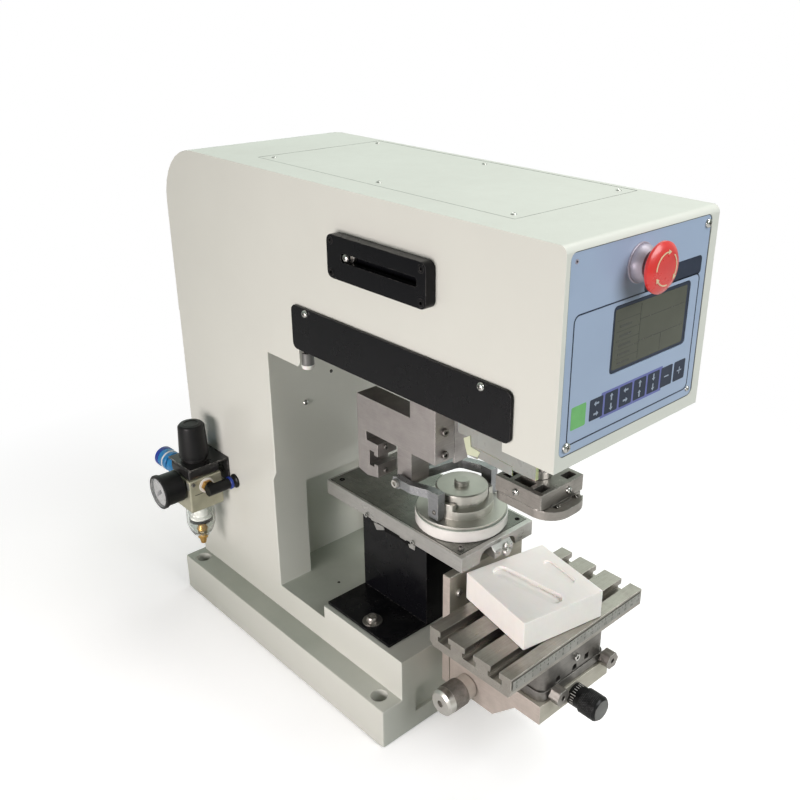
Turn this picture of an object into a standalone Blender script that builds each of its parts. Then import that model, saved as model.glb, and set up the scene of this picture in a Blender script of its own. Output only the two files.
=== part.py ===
# Pad printing machine: a C-shaped casting with a hollow head, a carriage that carries the
# pad and drags a closed ink cup over the cliche, and a lifting cross table in front of it.
# Metres, +Z up. X runs across the machine, the control panel faces -Y.
# The origin is the centre of the footprint across, on the surface that the machine stands on.

import math

import bmesh
import bpy
from mathutils import Matrix, Vector

NAME = "pad_printing_machine"

# Clearances and cuts
GAP = 0.0003
RUNNING_GAP = 0.0005
OVERRUN = 0.003
MERGE = 0.00001
EDGE = 0.0010
FINE_EDGE = 0.0005

# Plinth, bed and column, one casting
PLINTH_WIDTH = 0.233
PLINTH_HEIGHT = 0.045
PLINTH_FRONT = -0.090
PLINTH_REAR = 0.274
PLINTH_EDGE = 0.0025
BED_WIDTH = 0.184
BED_HIGH = 0.090
BED_LOW = 0.075
BED_STEP_Y = 0.031
COLUMN_FRONT = 0.102
COLUMN_REAR = 0.270
COLUMN_TOP = 0.350
COLUMN_RELIEF_TOP = 0.216
COLUMN_RELIEF_DEPTH = 0.006
COLUMN_RELIEF_SLOPE = 0.010
COLUMN_POCKET_WIDTH = 0.104
COLUMN_POCKET_TOP = 0.190
COLUMN_POCKET_DEPTH = 0.030
FOOT_HOLE_RADIUS = 0.0085
FOOT_HOLE_INSET = 0.0130
FOOT_HOLE_X = PLINTH_WIDTH / 2 - FOOT_HOLE_INSET
FOOT_HOLE_FRONT = -0.0697
FOOT_HOLE_REAR = 0.2543
FRONT_RECESS_WIDTH = 0.149
FRONT_RECESS_BOTTOM = 0.021
FRONT_RECESS_TOP = 0.049
FRONT_RECESS_DEPTH = 0.004

# Head casing
HEAD_FRONT = -0.257
HEAD_TOP = 0.526
HEAD_UNDERSIDE = 0.3595
HEAD_WALL = 0.005
HEAD_FRONT_RADIUS = 0.006
HEAD_REAR_RADIUS = 0.058
HEAD_TAB_Y = 0.048
SIDE_OPENING_FRONT = -0.207
SIDE_OPENING_TOP = HEAD_UNDERSIDE + (HEAD_TOP - HEAD_UNDERSIDE) * 0.2312
SIDE_OPENING_RADIUS = 0.008

# Top cover, in a rebate of the head
COVER_LEFT = -0.062
COVER_RIGHT = 0.086
COVER_FRONT = -0.184
COVER_REAR = 0.141
COVER_THICKNESS = 0.0018
COVER_LEDGE = 0.012

# Control panel, in a recess of the head's front
PANEL_LEFT = -0.0875
PANEL_RIGHT = 0.0825
PANEL_BELOW_TOP = 0.005
PANEL_ABOVE_UNDERSIDE = 0.0105
PANEL_BOTTOM = HEAD_UNDERSIDE + PANEL_ABOVE_UNDERSIDE
PANEL_TOP = HEAD_TOP - PANEL_BELOW_TOP
PANEL_RADIUS = 0.006
PANEL_THICKNESS = 0.0015
PANEL_INSET = 0.0006

# Emergency push button
ESTOP_X = -0.008
ESTOP_BELOW_TOP = 0.0265
ESTOP_Z = HEAD_TOP - ESTOP_BELOW_TOP
ESTOP_COLLAR_RADIUS = 0.0140
ESTOP_COLLAR_LENGTH = 0.0090
ESTOP_STEM_RADIUS = 0.0060
ESTOP_STEM_BACK = 0.004
ESTOP_HEAD_RADIUS = 0.0190
ESTOP_HEAD_THICKNESS = 0.0085
ESTOP_HEAD_NECK_RADIUS = 0.0110
ESTOP_TRAVEL = 0.004

# Display, below the button
SCREEN_LEFT = -0.0342
SCREEN_RIGHT = 0.0635
SCREEN_BELOW_BUTTON = 0.0084
SCREEN_TOP = ESTOP_Z - ESTOP_HEAD_RADIUS - SCREEN_BELOW_BUTTON
SCREEN_BOTTOM = PANEL_BOTTOM + (SCREEN_TOP - PANEL_BOTTOM) * 0.4855
SCREEN_RADIUS = (SCREEN_TOP - SCREEN_BOTTOM) * 0.076
SCREEN_THICKNESS = 0.0012

# Black guard plate over the side opening
GUARD_FRONT = -0.2172
GUARD_REAR = 0.0530
GUARD_BOTTOM = HEAD_UNDERSIDE + (HEAD_TOP - HEAD_UNDERSIDE) * 0.0571
GUARD_TOP = HEAD_UNDERSIDE + (HEAD_TOP - HEAD_UNDERSIDE) * 0.3123
GUARD_THICKNESS = 0.003
GUARD_RADIUS = 0.006

# Black slotted plate with its stop pin
SLOT_PLATE_FRONT = -0.1345
SLOT_PLATE_REAR = -0.0140
SLOT_PLATE_HEIGHT = 0.0372
SLOT_PLATE_BOTTOM = HEAD_UNDERSIDE + (HEAD_TOP - HEAD_UNDERSIDE) * 0.5634
SLOT_PLATE_TOP = SLOT_PLATE_BOTTOM + SLOT_PLATE_HEIGHT
SLOT_PLATE_THICKNESS = 0.010
SLOT_PLATE_RADIUS = 0.006
SLOT_REAR = -0.0330
SLOT_FRONT = -0.1240
SLOT_Z = SLOT_PLATE_BOTTOM + SLOT_PLATE_HEIGHT * 0.543
SLOT_HEIGHT = 0.0075
SLOT_GROOVE_HEIGHT = 0.012
SLOT_GROOVE_DEPTH = 0.0045
STOP_PIN_RADIUS = 0.0033
STOP_PIN_HEAD = 0.0035
STOP_PIN_INSET = 0.0015

# Rail plate and rails inside the head
RAIL_PLATE_FRONT = -0.200
RAIL_PLATE_REAR = 0.100
RAIL_PLATE_BOTTOM = 0.412
RAIL_PLATE_THICKNESS = 0.008
RAIL_X = 0.035
RAIL_WIDTH = 0.012
RAIL_HEIGHT = 0.010
RAIL_END_INSET = 0.005

# Carriage
BRIDGE_TOP = 0.384
BRIDGE_THICKNESS = 0.012
BRIDGE_HALF_WIDTH = 0.050
BRIDGE_REAR = -0.030
BRIDGE_SHOULDER = -0.090
BRIDGE_FRONT = -0.194
BRIDGE_NOSE_HALF_WIDTH = 0.031
BEARING_WALL = 0.007
BEARING_HEIGHT = 0.025
PAD_BLOCK_TOP = 0.290
CHEEK_ABOVE_BLOCK = 0.010
CHEEK_FRONT = -0.186
CHEEK_REAR = -0.094
CHEEK_BOTTOM = PAD_BLOCK_TOP + CHEEK_ABOVE_BLOCK
CHEEK_THICKNESS = 0.004
CHEEK_FACE_X = -0.026
CHEEK_NOTCH = 0.012
SIDE_BLOCK_LEFT = -0.050
SIDE_BLOCK_THICKNESS = 0.024
SIDE_BLOCK_REAR = 0.019
SIDE_BLOCK_FRONT = -0.090
SIDE_BLOCK_LOW_TOP = 0.321
SIDE_BLOCK_STEP_Y = -0.057
SIDE_BLOCK_BOTTOM = 0.285
CLAMP_LEG_Y = 0.006
CLAMP_FRONT = -0.0105
CLAMP_BELOW_BLOCK = 0.009
CLAMP_TOP = SIDE_BLOCK_BOTTOM - CLAMP_BELOW_BLOCK
CLAMP_HEIGHT = 0.0355
CLAMP_BOTTOM = CLAMP_TOP - CLAMP_HEIGHT
CLAMP_FOOT_DROP = 0.003
CLAMP_SLOT_MOUTH = 0.009
CLAMP_SLOT_HEIGHT = 0.016
CLAMP_LIP = 0.0055
CLAMP_SLOT_DEPTH = 0.0125

# Pivot lug of the fork, below the side block
LUG_RIGHT = -0.014
LUG_LEFT = -0.0365
LUG_REAR = -0.0235
LUG_FRONT = -0.0435
LUG_BOTTOM = 0.236

# Pad cylinder and pad head
PAD_Y = -0.169
CYLINDER_SIDE = 0.040
CYLINDER_ROOF = 0.004
ROD_RADIUS = 0.0080
ROD_TOP = 0.366
ROD_COLLAR_RADIUS = 0.0105
ROD_COLLAR_HEIGHT = 0.007
PAD_BLOCK_HALF_WIDTH = 0.028
PAD_BLOCK_FRONT = -0.195
PAD_BLOCK_REAR = -0.143
PAD_BLOCK_HEIGHT = 0.0152
PAD_BLOCK_BOTTOM = PAD_BLOCK_TOP - PAD_BLOCK_HEIGHT
CYLINDER_ABOVE_BLOCK = 0.0165
CYLINDER_BOTTOM = PAD_BLOCK_TOP + CYLINDER_ABOVE_BLOCK
PAD_POCKET_DEPTH = 0.010
PAD_POCKET_SHARES = ((-0.84, -0.40, 0.52, 0.84), (0.40, 0.84, 0.52, 0.84),
                     (-0.84, -0.40, -0.84, -0.52), (0.40, 0.84, -0.84, -0.52),
                     (-0.84, -0.50, -0.34, 0.34), (0.50, 0.84, -0.34, 0.34))
PAD_PLATE_HALF_WIDTH = 0.0275
PAD_PLATE_FRONT = -0.2075
PAD_PLATE_REAR = -0.139
PAD_PLATE_THICKNESS = 0.0085
PAD_PLATE_FRONT_RADIUS = 0.022
PAD_PLATE_REAR_RADIUS = 0.010
PAD_PLATE_LEDGE = 0.003

# Pedestal and its two bolts
PEDESTAL_FOOT_HALF_WIDTH = 0.087
PEDESTAL_FOOT_THICKNESS = 0.003
PEDESTAL_FRONT = -0.066
PEDESTAL_REAR = 0.030
PEDESTAL_FOOT_REAR = 0.033
PEDESTAL_BODY_HALF_WIDTH = 0.038
PEDESTAL_NOTCH_FRONT = -0.042
PEDESTAL_NOTCH_REAR = 0.011
PEDESTAL_NOTCH_DEPTH = 0.011
PEDESTAL_BOLT_X = 0.0745
PEDESTAL_BOLT_Y = -0.0265
WASHER_RADIUS = 0.0100
WASHER_THICKNESS = 0.0016
BOLT_HEAD_RADIUS = 0.0062
BOLT_HEAD_HEIGHT = 0.0050
BOLT_SOCKET_RADIUS = 0.0032
BOLT_SOCKET_DEPTH = 0.0026

# Cliche tray, cliche and its clamp
TRAY_HALF_WIDTH = 0.048
TRAY_FRONT = -0.124
TRAY_REAR = 0.0755
TRAY_BOTTOM = 0.187
TRAY_TOP = 0.203
TRAY_RIM = 0.0025
CLICHE_THICKNESS = 0.0024
CLICHE_FRONT = -0.1185
CLICHE_PROUD = 0.0003
TRAY_NOTCH_HALF_WIDTH = 0.024
TRAY_NOTCH_DEPTH = 0.012
TRAY_NOTCH_ROOF = 0.004
TRAY_NOTCH_ARCH = 0.009
TAB_LENGTH = 0.009
TAB_HEIGHT = 0.006
TAB_STAND_OUT = 0.005
CLAMP_BLOCK_LEFT = -0.009
CLAMP_BLOCK_RIGHT = 0.016
CLAMP_BLOCK_FRONT = -0.1285
CLAMP_BLOCK_CHAMFER = 0.005
CLAMP_SCREW_X = 0.0030
CLAMP_SCREW_Z = 0.1915
CLAMP_SCREW_HEAD_RADIUS = 0.0040
CLAMP_SCREW_HEAD_LENGTH = 0.0055
CLAMP_SCREW_SHANK_RADIUS = 0.0020
CLAMP_SCREW_SHANK_LENGTH = 0.008

# Ink cup
CUP_Y = -0.0745
RING_RADIUS = 0.0450
RING_BORE_RADIUS = 0.0380
RING_HEIGHT = 0.0125
RING_LIP = 0.0012
FLANGE_RADIUS = 0.0435
FLANGE_THICKNESS = 0.003
HUB_RADIUS = 0.0310
HUB_HEIGHT = 0.0085
NECK_RADIUS = 0.0225
NECK_HEIGHT = 0.0040
EAR_THICKNESS = 0.0045
EAR_HEIGHT = 0.0065
EAR_HALF_LENGTH = 0.0150
CAP_RADIUS = 0.0252
CAP_HEIGHT = 0.0095
CAP_KNOB_RADIUS = 0.0072
CAP_KNOB_HEIGHT = 0.0048
CAP_CHAMFER = 0.0010

# Fork that carries the cup
FORK_PIVOT_Y = -0.033
FORK_PIVOT_Z = 0.243
FORK_SHAFT_RADIUS = 0.0035
FORK_EYE_RADIUS = 0.0062
FORK_ARM_TOP = 0.248
FORK_ARM_BOTTOM = 0.239
FORK_PAD_BOTTOM = 0.2205
FORK_PAD_TOP = 0.2445
FORK_PAD_FRONT = -0.0835
FORK_PAD_REAR = -0.0700
FORK_PAD_THICKNESS = 0.0085
FORK_LEFT_OUTER = 0.0460
FORK_ARM_THICKNESS = 0.0070
FORK_ARM_REAR = -0.0275
FORK_RIGHT_ROOT_X = -0.0130
FORK_RIGHT_ROOT_WIDTH = 0.0100

# Lift: fixed rail, lift plate and knee
LIFT_RAIL_HALF_WIDTH = 0.024
LIFT_RAIL_BOTTOM = 0.008
LIFT_RAIL_TOP = 0.160
LIFT_PLATE_HALF_WIDTH = 0.050
LIFT_PLATE_REAR = -0.1013
LIFT_PLATE_FRONT = -0.1105
LIFT_PLATE_TOP = 0.176
KNEE_HALF_WIDTH = 0.049
KNEE_FRONT = -0.2245
KNEE_TOP = 0.0985
KNEE_NOSE_BOTTOM = 0.0786
KNEE_BOTTOM = 0.0533
KNEE_SLOPE_FRONT = -0.1952
KNEE_SLOPE_REAR = -0.1684
KNEE_KEEL_RISE = 0.004

# Cross slide, saddle and slotted table
SLIDE_HALF_WIDTH = 0.0455
SLIDE_FRONT = -0.2225
SLIDE_REAR = -0.1320
SLIDE_HEIGHT = 0.0095
SADDLE_HALF_WIDTH = 0.0440
SADDLE_FRONT = -0.2215
SADDLE_REAR = -0.1330
SADDLE_RADIUS = 0.008
TABLE_HALF_WIDTH = 0.0915
TABLE_FRONT = -0.2260
TABLE_REAR = -0.1283
TABLE_TOP = 0.155
TABLE_THICKNESS = 0.017
TABLE_SLOT_COUNT = 3
TABLE_END_RAIL = 0.0135
TABLE_SLOT_MOUTH = 0.0098
TABLE_SLOT_LIP = 0.0060
TABLE_TEE_WIDTH = 0.0160
TABLE_TEE_HEIGHT = 0.0055
TABLE_KEEL_INSET = 0.0025
TABLE_KEEL_HEIGHT = 0.0030
SCALE_THICKNESS = 0.0006
SCALE_HEIGHT = 0.0095
SCALE_END_INSET = 0.0020
SCALE_TOP_INSET = 0.0028

# Slots in the saddle's front face
SADDLE_SLOT_DEPTH = 0.006
SADDLE_ARCH_RADIUS = 0.0030
SADDLE_ARCH_X = (-0.0220, 0.0010)
SADDLE_ARCH_Z = 0.1125
SADDLE_SQUARE_X = 0.0180
SADDLE_SQUARE_SIDE = 0.0060

# Knobs of the stage
LIFT_KNOB_Y = -0.1364
LIFT_KNOB_Z = 0.0674
LIFT_KNOB_RADIUS = 0.0133
LIFT_KNOB_SLEEVE_RADIUS = 0.0121
LIFT_KNOB_LENGTH = 0.0365
LIFT_KNOB_COLLAR = 0.0100
LIFT_KNOB_GROOVE = 0.0008
LIFT_KNOB_SOCKET = 0.0034
LIFT_KNOB_SOCKET_DEPTH = 0.006
CROSS_KNOB_X = -0.0010
CROSS_KNOB_Z = 0.0858
CROSS_KNOB_RADIUS = 0.0118
CROSS_KNOB_SLEEVE_RADIUS = 0.0105
CROSS_KNOB_SLEEVE = 0.0110
CROSS_KNOB_LENGTH = 0.0310
LOCK_KNOB_X = (-0.0310, 0.0400)
LOCK_KNOB_Z = 0.1050
LOCK_KNOB_RADIUS = 0.0084
LOCK_KNOB_LENGTH = 0.0105
LOCK_KNOB_LOBES = 6
LOCK_KNOB_DEPTH_SHARE = 0.07
LOCK_KNOB_SOCKET = 0.0028
LOCK_SCREW_RADIUS = 0.0030

# White jig block on the table
JIG_SIDE = 0.088
JIG_HEIGHT = 0.028
JIG_X = -0.0050
JIG_Y = -0.1735
JIG_TURN = -11.1
JIG_SEAT_LENGTH = 0.074
JIG_SEAT_WIDTH = 0.016
JIG_SEAT_DEPTH = 0.004
JIG_SEAT_X = -0.0080
JIG_SEAT_TURN = 15.0
JIG_GROOVE_LENGTH = 0.040
JIG_GROOVE_WIDTH = 0.008
JIG_GROOVE_DEPTH = 0.002
JIG_GROOVE_X = 0.0290

# Filter regulator on the column's left side
REG_OUT = 0.0285
REG_X = -BED_WIDTH / 2 - REG_OUT
REG_Y = 0.2170
REG_HALF_SIDE = 0.0200
REG_BODY_BOTTOM = 0.1450
REG_BODY_TOP = 0.1840
REG_PORT_Z = 0.1740
BONNET_HALF_SIDE = 0.0190
BONNET_HEIGHT = 0.0125
BONNET_NECK_RADIUS = 0.0130
BONNET_NECK_HEIGHT = 0.0060
BRACKET_THICKNESS = 0.0020
BRACKET_OUT = 0.0475
BRACKET_OUTER_X = -BED_WIDTH / 2 - BRACKET_OUT
BRACKET_FRONT = 0.1940
BRACKET_REAR = 0.2400
BRACKET_DROP = 0.0300
REG_KNOB_RADIUS = 0.0156
REG_KNOB_TOP_RADIUS = 0.0142
REG_KNOB_HEIGHT = 0.0385
REG_KNOB_DISH = 0.0010
GAUGE_RADIUS = 0.0190
GAUGE_LENGTH = 0.0235
GAUGE_STEM_RADIUS = 0.0055
GAUGE_STEM_LENGTH = 0.0025
GAUGE_RIM = 0.0025
GAUGE_DISH = 0.0040
GAUGE_LENS_THICKNESS = 0.0010
POINTER_LENGTH = 0.0110
POINTER_WIDTH = 0.0012
POINTER_THICKNESS = 0.0006
POINTER_HUB_RADIUS = 0.0020
BOWL_RADIUS = 0.0155
BOWL_WALL = 0.0020
BOWL_HEIGHT = 0.0400
BOWL_TAPER = 0.0060
FILTER_RADIUS = 0.0090
FILTER_HEIGHT = 0.0150
BAFFLE_RADIUS = 0.0118
BAFFLE_HEIGHT = 0.0020
DRAIN_RADIUS = 0.0042
DRAIN_HEX_RADIUS = 0.0058
DRAIN_LENGTH = 0.0130
COUPLER_RADIUS = 0.0112
COUPLER_LENGTH = 0.0460
COUPLER_NIPPLE_RADIUS = 0.0070
COUPLER_NIPPLE_LENGTH = 0.0100
COUPLER_BODY_RADIUS = 0.0085
COUPLER_SLEEVE_LENGTH = 0.0260
COUPLER_SLEEVE_WALL = 0.0025
COUPLER_BORE_RADIUS = 0.0045
COUPLER_BORE_DEPTH = 0.020
COUPLER_TRAVEL = 0.003
NIPPLE_RADIUS = 0.0068
NIPPLE_LENGTH = 0.0065
ELBOW_RADIUS = 0.0062
GROMMET_RADIUS = 0.0080
GROMMET_THICKNESS = 0.0030

# Facet counts
SIDES_LARGE = 40
SIDES = 28
SIDES_SMALL = 16
SIDES_TINY = 10
CORNER_STEPS = 4

PARTS = None
CUTTERS = None
MATERIALS = {}


# Scene and materials

def clear_scene():
    for obj in list(bpy.data.objects):
        bpy.data.objects.remove(obj, do_unlink=True)


def new_collection(name):
    collection = bpy.data.collections.new(name)
    bpy.context.scene.collection.children.link(collection)
    return collection


def material(name, colour, roughness, metallic=0.0, alpha=1.0):
    if name in MATERIALS:
        return MATERIALS[name]
    mat = bpy.data.materials.new(name)
    mat.use_nodes = True
    shader = mat.node_tree.nodes["Principled BSDF"]
    shader.inputs["Base Color"].default_value = (*colour, 1.0)
    shader.inputs["Roughness"].default_value = roughness
    shader.inputs["Metallic"].default_value = metallic
    shader.inputs["Alpha"].default_value = alpha
    MATERIALS[name] = mat
    return mat


def paint():
    return material("cream_paint", (0.70, 0.72, 0.64), 0.35)


def machined_aluminium():
    return material("machined_aluminium", (0.62, 0.60, 0.58), 0.35, 0.9)


def bright_steel():
    return material("bright_steel", (0.66, 0.65, 0.63), 0.25, 1.0)


def ground_steel():
    return material("ground_steel", (0.42, 0.41, 0.39), 0.35, 0.9)


def black_paint():
    return material("black_paint", (0.010, 0.010, 0.012), 0.30)


def black_plastic():
    return material("black_plastic", (0.014, 0.014, 0.015), 0.40)


def brass():
    return material("brass", (0.62, 0.38, 0.13), 0.30, 1.0)


# Geometry helpers

def finish(obj, mat, cutter, smooth):
    if cutter:
        obj.hide_render = True
        obj.display_type = "WIRE"
        CUTTERS.objects.link(obj)
        return obj
    obj.data.materials.clear()
    obj.data.materials.append(mat)
    if smooth:
        obj.data.shade_smooth()
        obj.data.set_sharp_from_angle(angle=math.radians(35))
    PARTS.objects.link(obj)
    return obj


def from_bmesh(name, bm, mat=None, cutter=False, smooth=False, origin=None):
    bmesh.ops.recalc_face_normals(bm, faces=bm.faces)
    if bm.calc_volume(signed=True) < 0:
        bmesh.ops.reverse_faces(bm, faces=bm.faces)
    mesh = bpy.data.meshes.new(name)
    bm.to_mesh(mesh)
    bm.free()
    obj = bpy.data.objects.new(name, mesh)
    if origin is not None:
        mesh.transform(Matrix.Translation(-Vector(origin)))
        obj.location = origin
    return finish(obj, mat, cutter, smooth)


def block(name, x, y, z, mat=None, cutter=False, origin=None, edge=0.0):
    bm = bmesh.new()
    bmesh.ops.create_cube(bm, size=1)
    bm.transform(Matrix.Diagonal((x[1] - x[0], y[1] - y[0], z[1] - z[0], 1)))
    centre = ((x[0] + x[1]) / 2, (y[0] + y[1]) / 2, (z[0] + z[1]) / 2)
    bm.transform(Matrix.Translation(centre))
    obj = from_bmesh(name, bm, mat, cutter, False, origin)
    if edge:
        bevel(obj, edge)
    return obj


def along(axis):
    """Turns local XY outlines, extruded along local Z, so that Z lies along the named axis."""
    if axis == "X":
        columns = ((0, 1, 0), (0, 0, 1), (1, 0, 0))
    elif axis == "Y":
        columns = ((1, 0, 0), (0, 0, 1), (0, -1, 0))
    else:
        columns = ((1, 0, 0), (0, 1, 0), (0, 0, 1))
    return Matrix(columns).transposed().to_4x4()


def prism(name, outlines, axis, low, high, mat=None, cutter=False, origin=None,
          edge=0.0, smooth=False):
    """A flat outline, with any holes as further outlines, extruded from low to high."""
    curve = bpy.data.curves.new(name + "_outline", "CURVE")
    curve.dimensions = "2D"
    curve.fill_mode = "BOTH"
    curve.extrude = (high - low) / 2
    for outline in outlines:
        spline = curve.splines.new("POLY")
        spline.points.add(len(outline) - 1)
        for point, (u, v) in zip(spline.points, outline):
            point.co = (u, v, 0, 1)
        spline.use_cyclic_u = True
    holder = bpy.data.objects.new(name + "_outline", curve)
    bpy.context.scene.collection.objects.link(holder)
    graph = bpy.context.evaluated_depsgraph_get()
    mesh = bpy.data.meshes.new_from_object(holder.evaluated_get(graph))
    bpy.data.objects.remove(holder, do_unlink=True)
    bm = bmesh.new()
    bm.from_mesh(mesh)
    bpy.data.meshes.remove(mesh)
    bmesh.ops.remove_doubles(bm, verts=bm.verts, dist=MERGE)
    middle = (low + high) / 2
    place = {"X": (middle, 0, 0), "Y": (0, middle, 0), "Z": (0, 0, middle)}[axis]
    bm.transform(Matrix.Translation(place) @ along(axis))
    obj = from_bmesh(name, bm, mat, cutter, smooth, origin)
    if edge:
        bevel(obj, edge)
    return obj


def rounded(corners, steps=CORNER_STEPS):
    """An outline from (u, v, radius) corners, each turned by an arc of that radius."""
    outline = []
    count = len(corners)
    for i, (u, v, radius) in enumerate(corners):
        here = Vector((u, v))
        if radius <= 0:
            outline.append((u, v))
            continue
        back = (Vector(corners[i - 1][:2]) - here).normalized()
        ahead = (Vector(corners[(i + 1) % count][:2]) - here).normalized()
        half = math.acos(max(-1.0, min(1.0, back.dot(ahead)))) / 2
        reach = radius / math.tan(half)
        centre = here + (back + ahead).normalized() * (radius / math.sin(half))
        start = here + back * reach - centre
        end = here + ahead * reach - centre
        turn = start.angle_signed(end)
        for step in range(steps + 1):
            spoke = start.copy()
            spoke.rotate(Matrix.Rotation(-turn * step / steps, 2))
            outline.append(tuple(centre + spoke))
    return outline


def rectangle(u, v, radius=0.0, steps=CORNER_STEPS):
    return rounded([(u[0], v[0], radius), (u[1], v[0], radius),
                    (u[1], v[1], radius), (u[0], v[1], radius)], steps)


def turned(name, profile, base, axis, sides=SIDES, mat=None, cutter=False, origin=None,
           closed=False, smooth=True):
    """A profile of (radius, height) points, top to bottom, swept round its axis at base.
    The axis "-X" or "-Y" points the heights the other way."""
    mesh = bpy.data.meshes.new(name)
    verts = [(radius, 0, height) for radius, height in profile]
    edges = [(i, i + 1) for i in range(len(verts) - 1)]
    if closed:
        edges.append((len(verts) - 1, 0))
    mesh.from_pydata(verts, edges, [])
    obj = bpy.data.objects.new(name, mesh)
    screw = obj.modifiers.new("Turn", "SCREW")
    screw.axis = "Z"
    screw.angle = math.tau
    screw.steps = sides
    screw.render_steps = sides
    screw.use_merge_vertices = True
    screw.merge_threshold = MERGE
    bpy.context.scene.collection.objects.link(obj)
    graph = bpy.context.evaluated_depsgraph_get()
    made = bpy.data.meshes.new_from_object(obj.evaluated_get(graph))
    bpy.data.objects.remove(obj, do_unlink=True)
    bm = bmesh.new()
    bm.from_mesh(made)
    bpy.data.meshes.remove(made)
    bmesh.ops.remove_doubles(bm, verts=bm.verts, dist=MERGE)
    turns = {"Z": Matrix.Identity(4),
             "-Z": Matrix.Rotation(math.pi, 4, "X"),
             "X": Matrix.Rotation(math.pi / 2, 4, "Y"),
             "-X": Matrix.Rotation(-math.pi / 2, 4, "Y"),
             "Y": Matrix.Rotation(-math.pi / 2, 4, "X"),
             "-Y": Matrix.Rotation(math.pi / 2, 4, "X")}
    bm.transform(Matrix.Translation(base) @ turns[axis])
    return from_bmesh(name, bm, mat, cutter, smooth, origin)


def rod(name, base, axis, radius, length, sides=SIDES, mat=None, cutter=False, origin=None):
    return turned(name, [(0, length), (radius, length), (radius, 0), (0, 0)],
                  base, axis, sides, mat, cutter, origin)


def bevel(obj, width, segments=2, angle=50):
    mod = obj.modifiers.new("Edges", "BEVEL")
    mod.width = width
    mod.segments = segments
    mod.limit_method = "ANGLE"
    mod.angle_limit = math.radians(angle)
    mod.use_clamp_overlap = True
    return mod


def combine(obj, tools, operation):
    for tool in tools:
        mod = obj.modifiers.new(operation.title(), "BOOLEAN")
        mod.operation = operation
        mod.solver = "EXACT"
        mod.object = tool
    return obj


def cut(obj, *tools):
    return combine(obj, tools, "DIFFERENCE")


def fuse(obj, *tools):
    return combine(obj, tools, "UNION")


def clip(obj, tool):
    return combine(obj, [tool], "INTERSECT")


# Plinth, bed and column

def build_base():
    half = BED_WIDTH / 2
    relief = COLUMN_FRONT + COLUMN_RELIEF_DEPTH
    side = [(PLINTH_FRONT, PLINTH_HEIGHT / 2), (PLINTH_FRONT, BED_HIGH),
            (BED_STEP_Y, BED_HIGH), (BED_STEP_Y, BED_LOW), (relief, BED_LOW),
            (relief, COLUMN_RELIEF_TOP - COLUMN_RELIEF_SLOPE),
            (COLUMN_FRONT, COLUMN_RELIEF_TOP), (COLUMN_FRONT, COLUMN_TOP),
            (COLUMN_REAR, COLUMN_TOP), (COLUMN_REAR, PLINTH_HEIGHT / 2)]
    base = prism("base_casting", [side[::-1]], "X", -half, half, paint(), edge=EDGE)
    plinth = block("plinth_body", (-PLINTH_WIDTH / 2, PLINTH_WIDTH / 2),
                   (PLINTH_FRONT, PLINTH_REAR), (0, PLINTH_HEIGHT), cutter=True,
                   edge=PLINTH_EDGE)
    pocket = block("column_pocket", (-COLUMN_POCKET_WIDTH / 2, COLUMN_POCKET_WIDTH / 2),
                   (COLUMN_FRONT - OVERRUN, relief + COLUMN_POCKET_DEPTH),
                   (BED_LOW, COLUMN_POCKET_TOP), cutter=True)
    recess = block("front_recess", (-FRONT_RECESS_WIDTH / 2, FRONT_RECESS_WIDTH / 2),
                   (PLINTH_FRONT - OVERRUN, PLINTH_FRONT + FRONT_RECESS_DEPTH),
                   (FRONT_RECESS_BOTTOM, FRONT_RECESS_TOP), cutter=True)
    holes = [rod("foot_hole", (side_x * FOOT_HOLE_X, y, -OVERRUN), "Z", FOOT_HOLE_RADIUS,
                 PLINTH_HEIGHT + 2 * OVERRUN, SIDES_SMALL, cutter=True)
             for side_x in (-1, 1) for y in (FOOT_HOLE_FRONT, FOOT_HOLE_REAR)]
    fuse(base, plinth)
    cut(base, pocket, recess, *holes)


# Hollow head, its cover and the plates on it

def head_outline(inset, front_radius, rear_radius, open_bottom):
    front = HEAD_FRONT + inset
    rear = COLUMN_REAR - inset
    top = HEAD_TOP - inset
    seat = COLUMN_TOP + GAP
    if open_bottom:
        corners = [(front, seat - OVERRUN, 0), (front, top, front_radius),
                   (rear, top, rear_radius), (rear, seat - OVERRUN, 0)]
    else:
        tab = HEAD_UNDERSIDE - seat
        corners = [(front, HEAD_UNDERSIDE, 0), (front, top, front_radius),
                   (rear, top, rear_radius), (rear, seat, 0), (HEAD_TAB_Y, seat, tab / 2),
                   (HEAD_TAB_Y, HEAD_UNDERSIDE, 0)]
    return rounded(corners[::-1], 2 * CORNER_STEPS)


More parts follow.
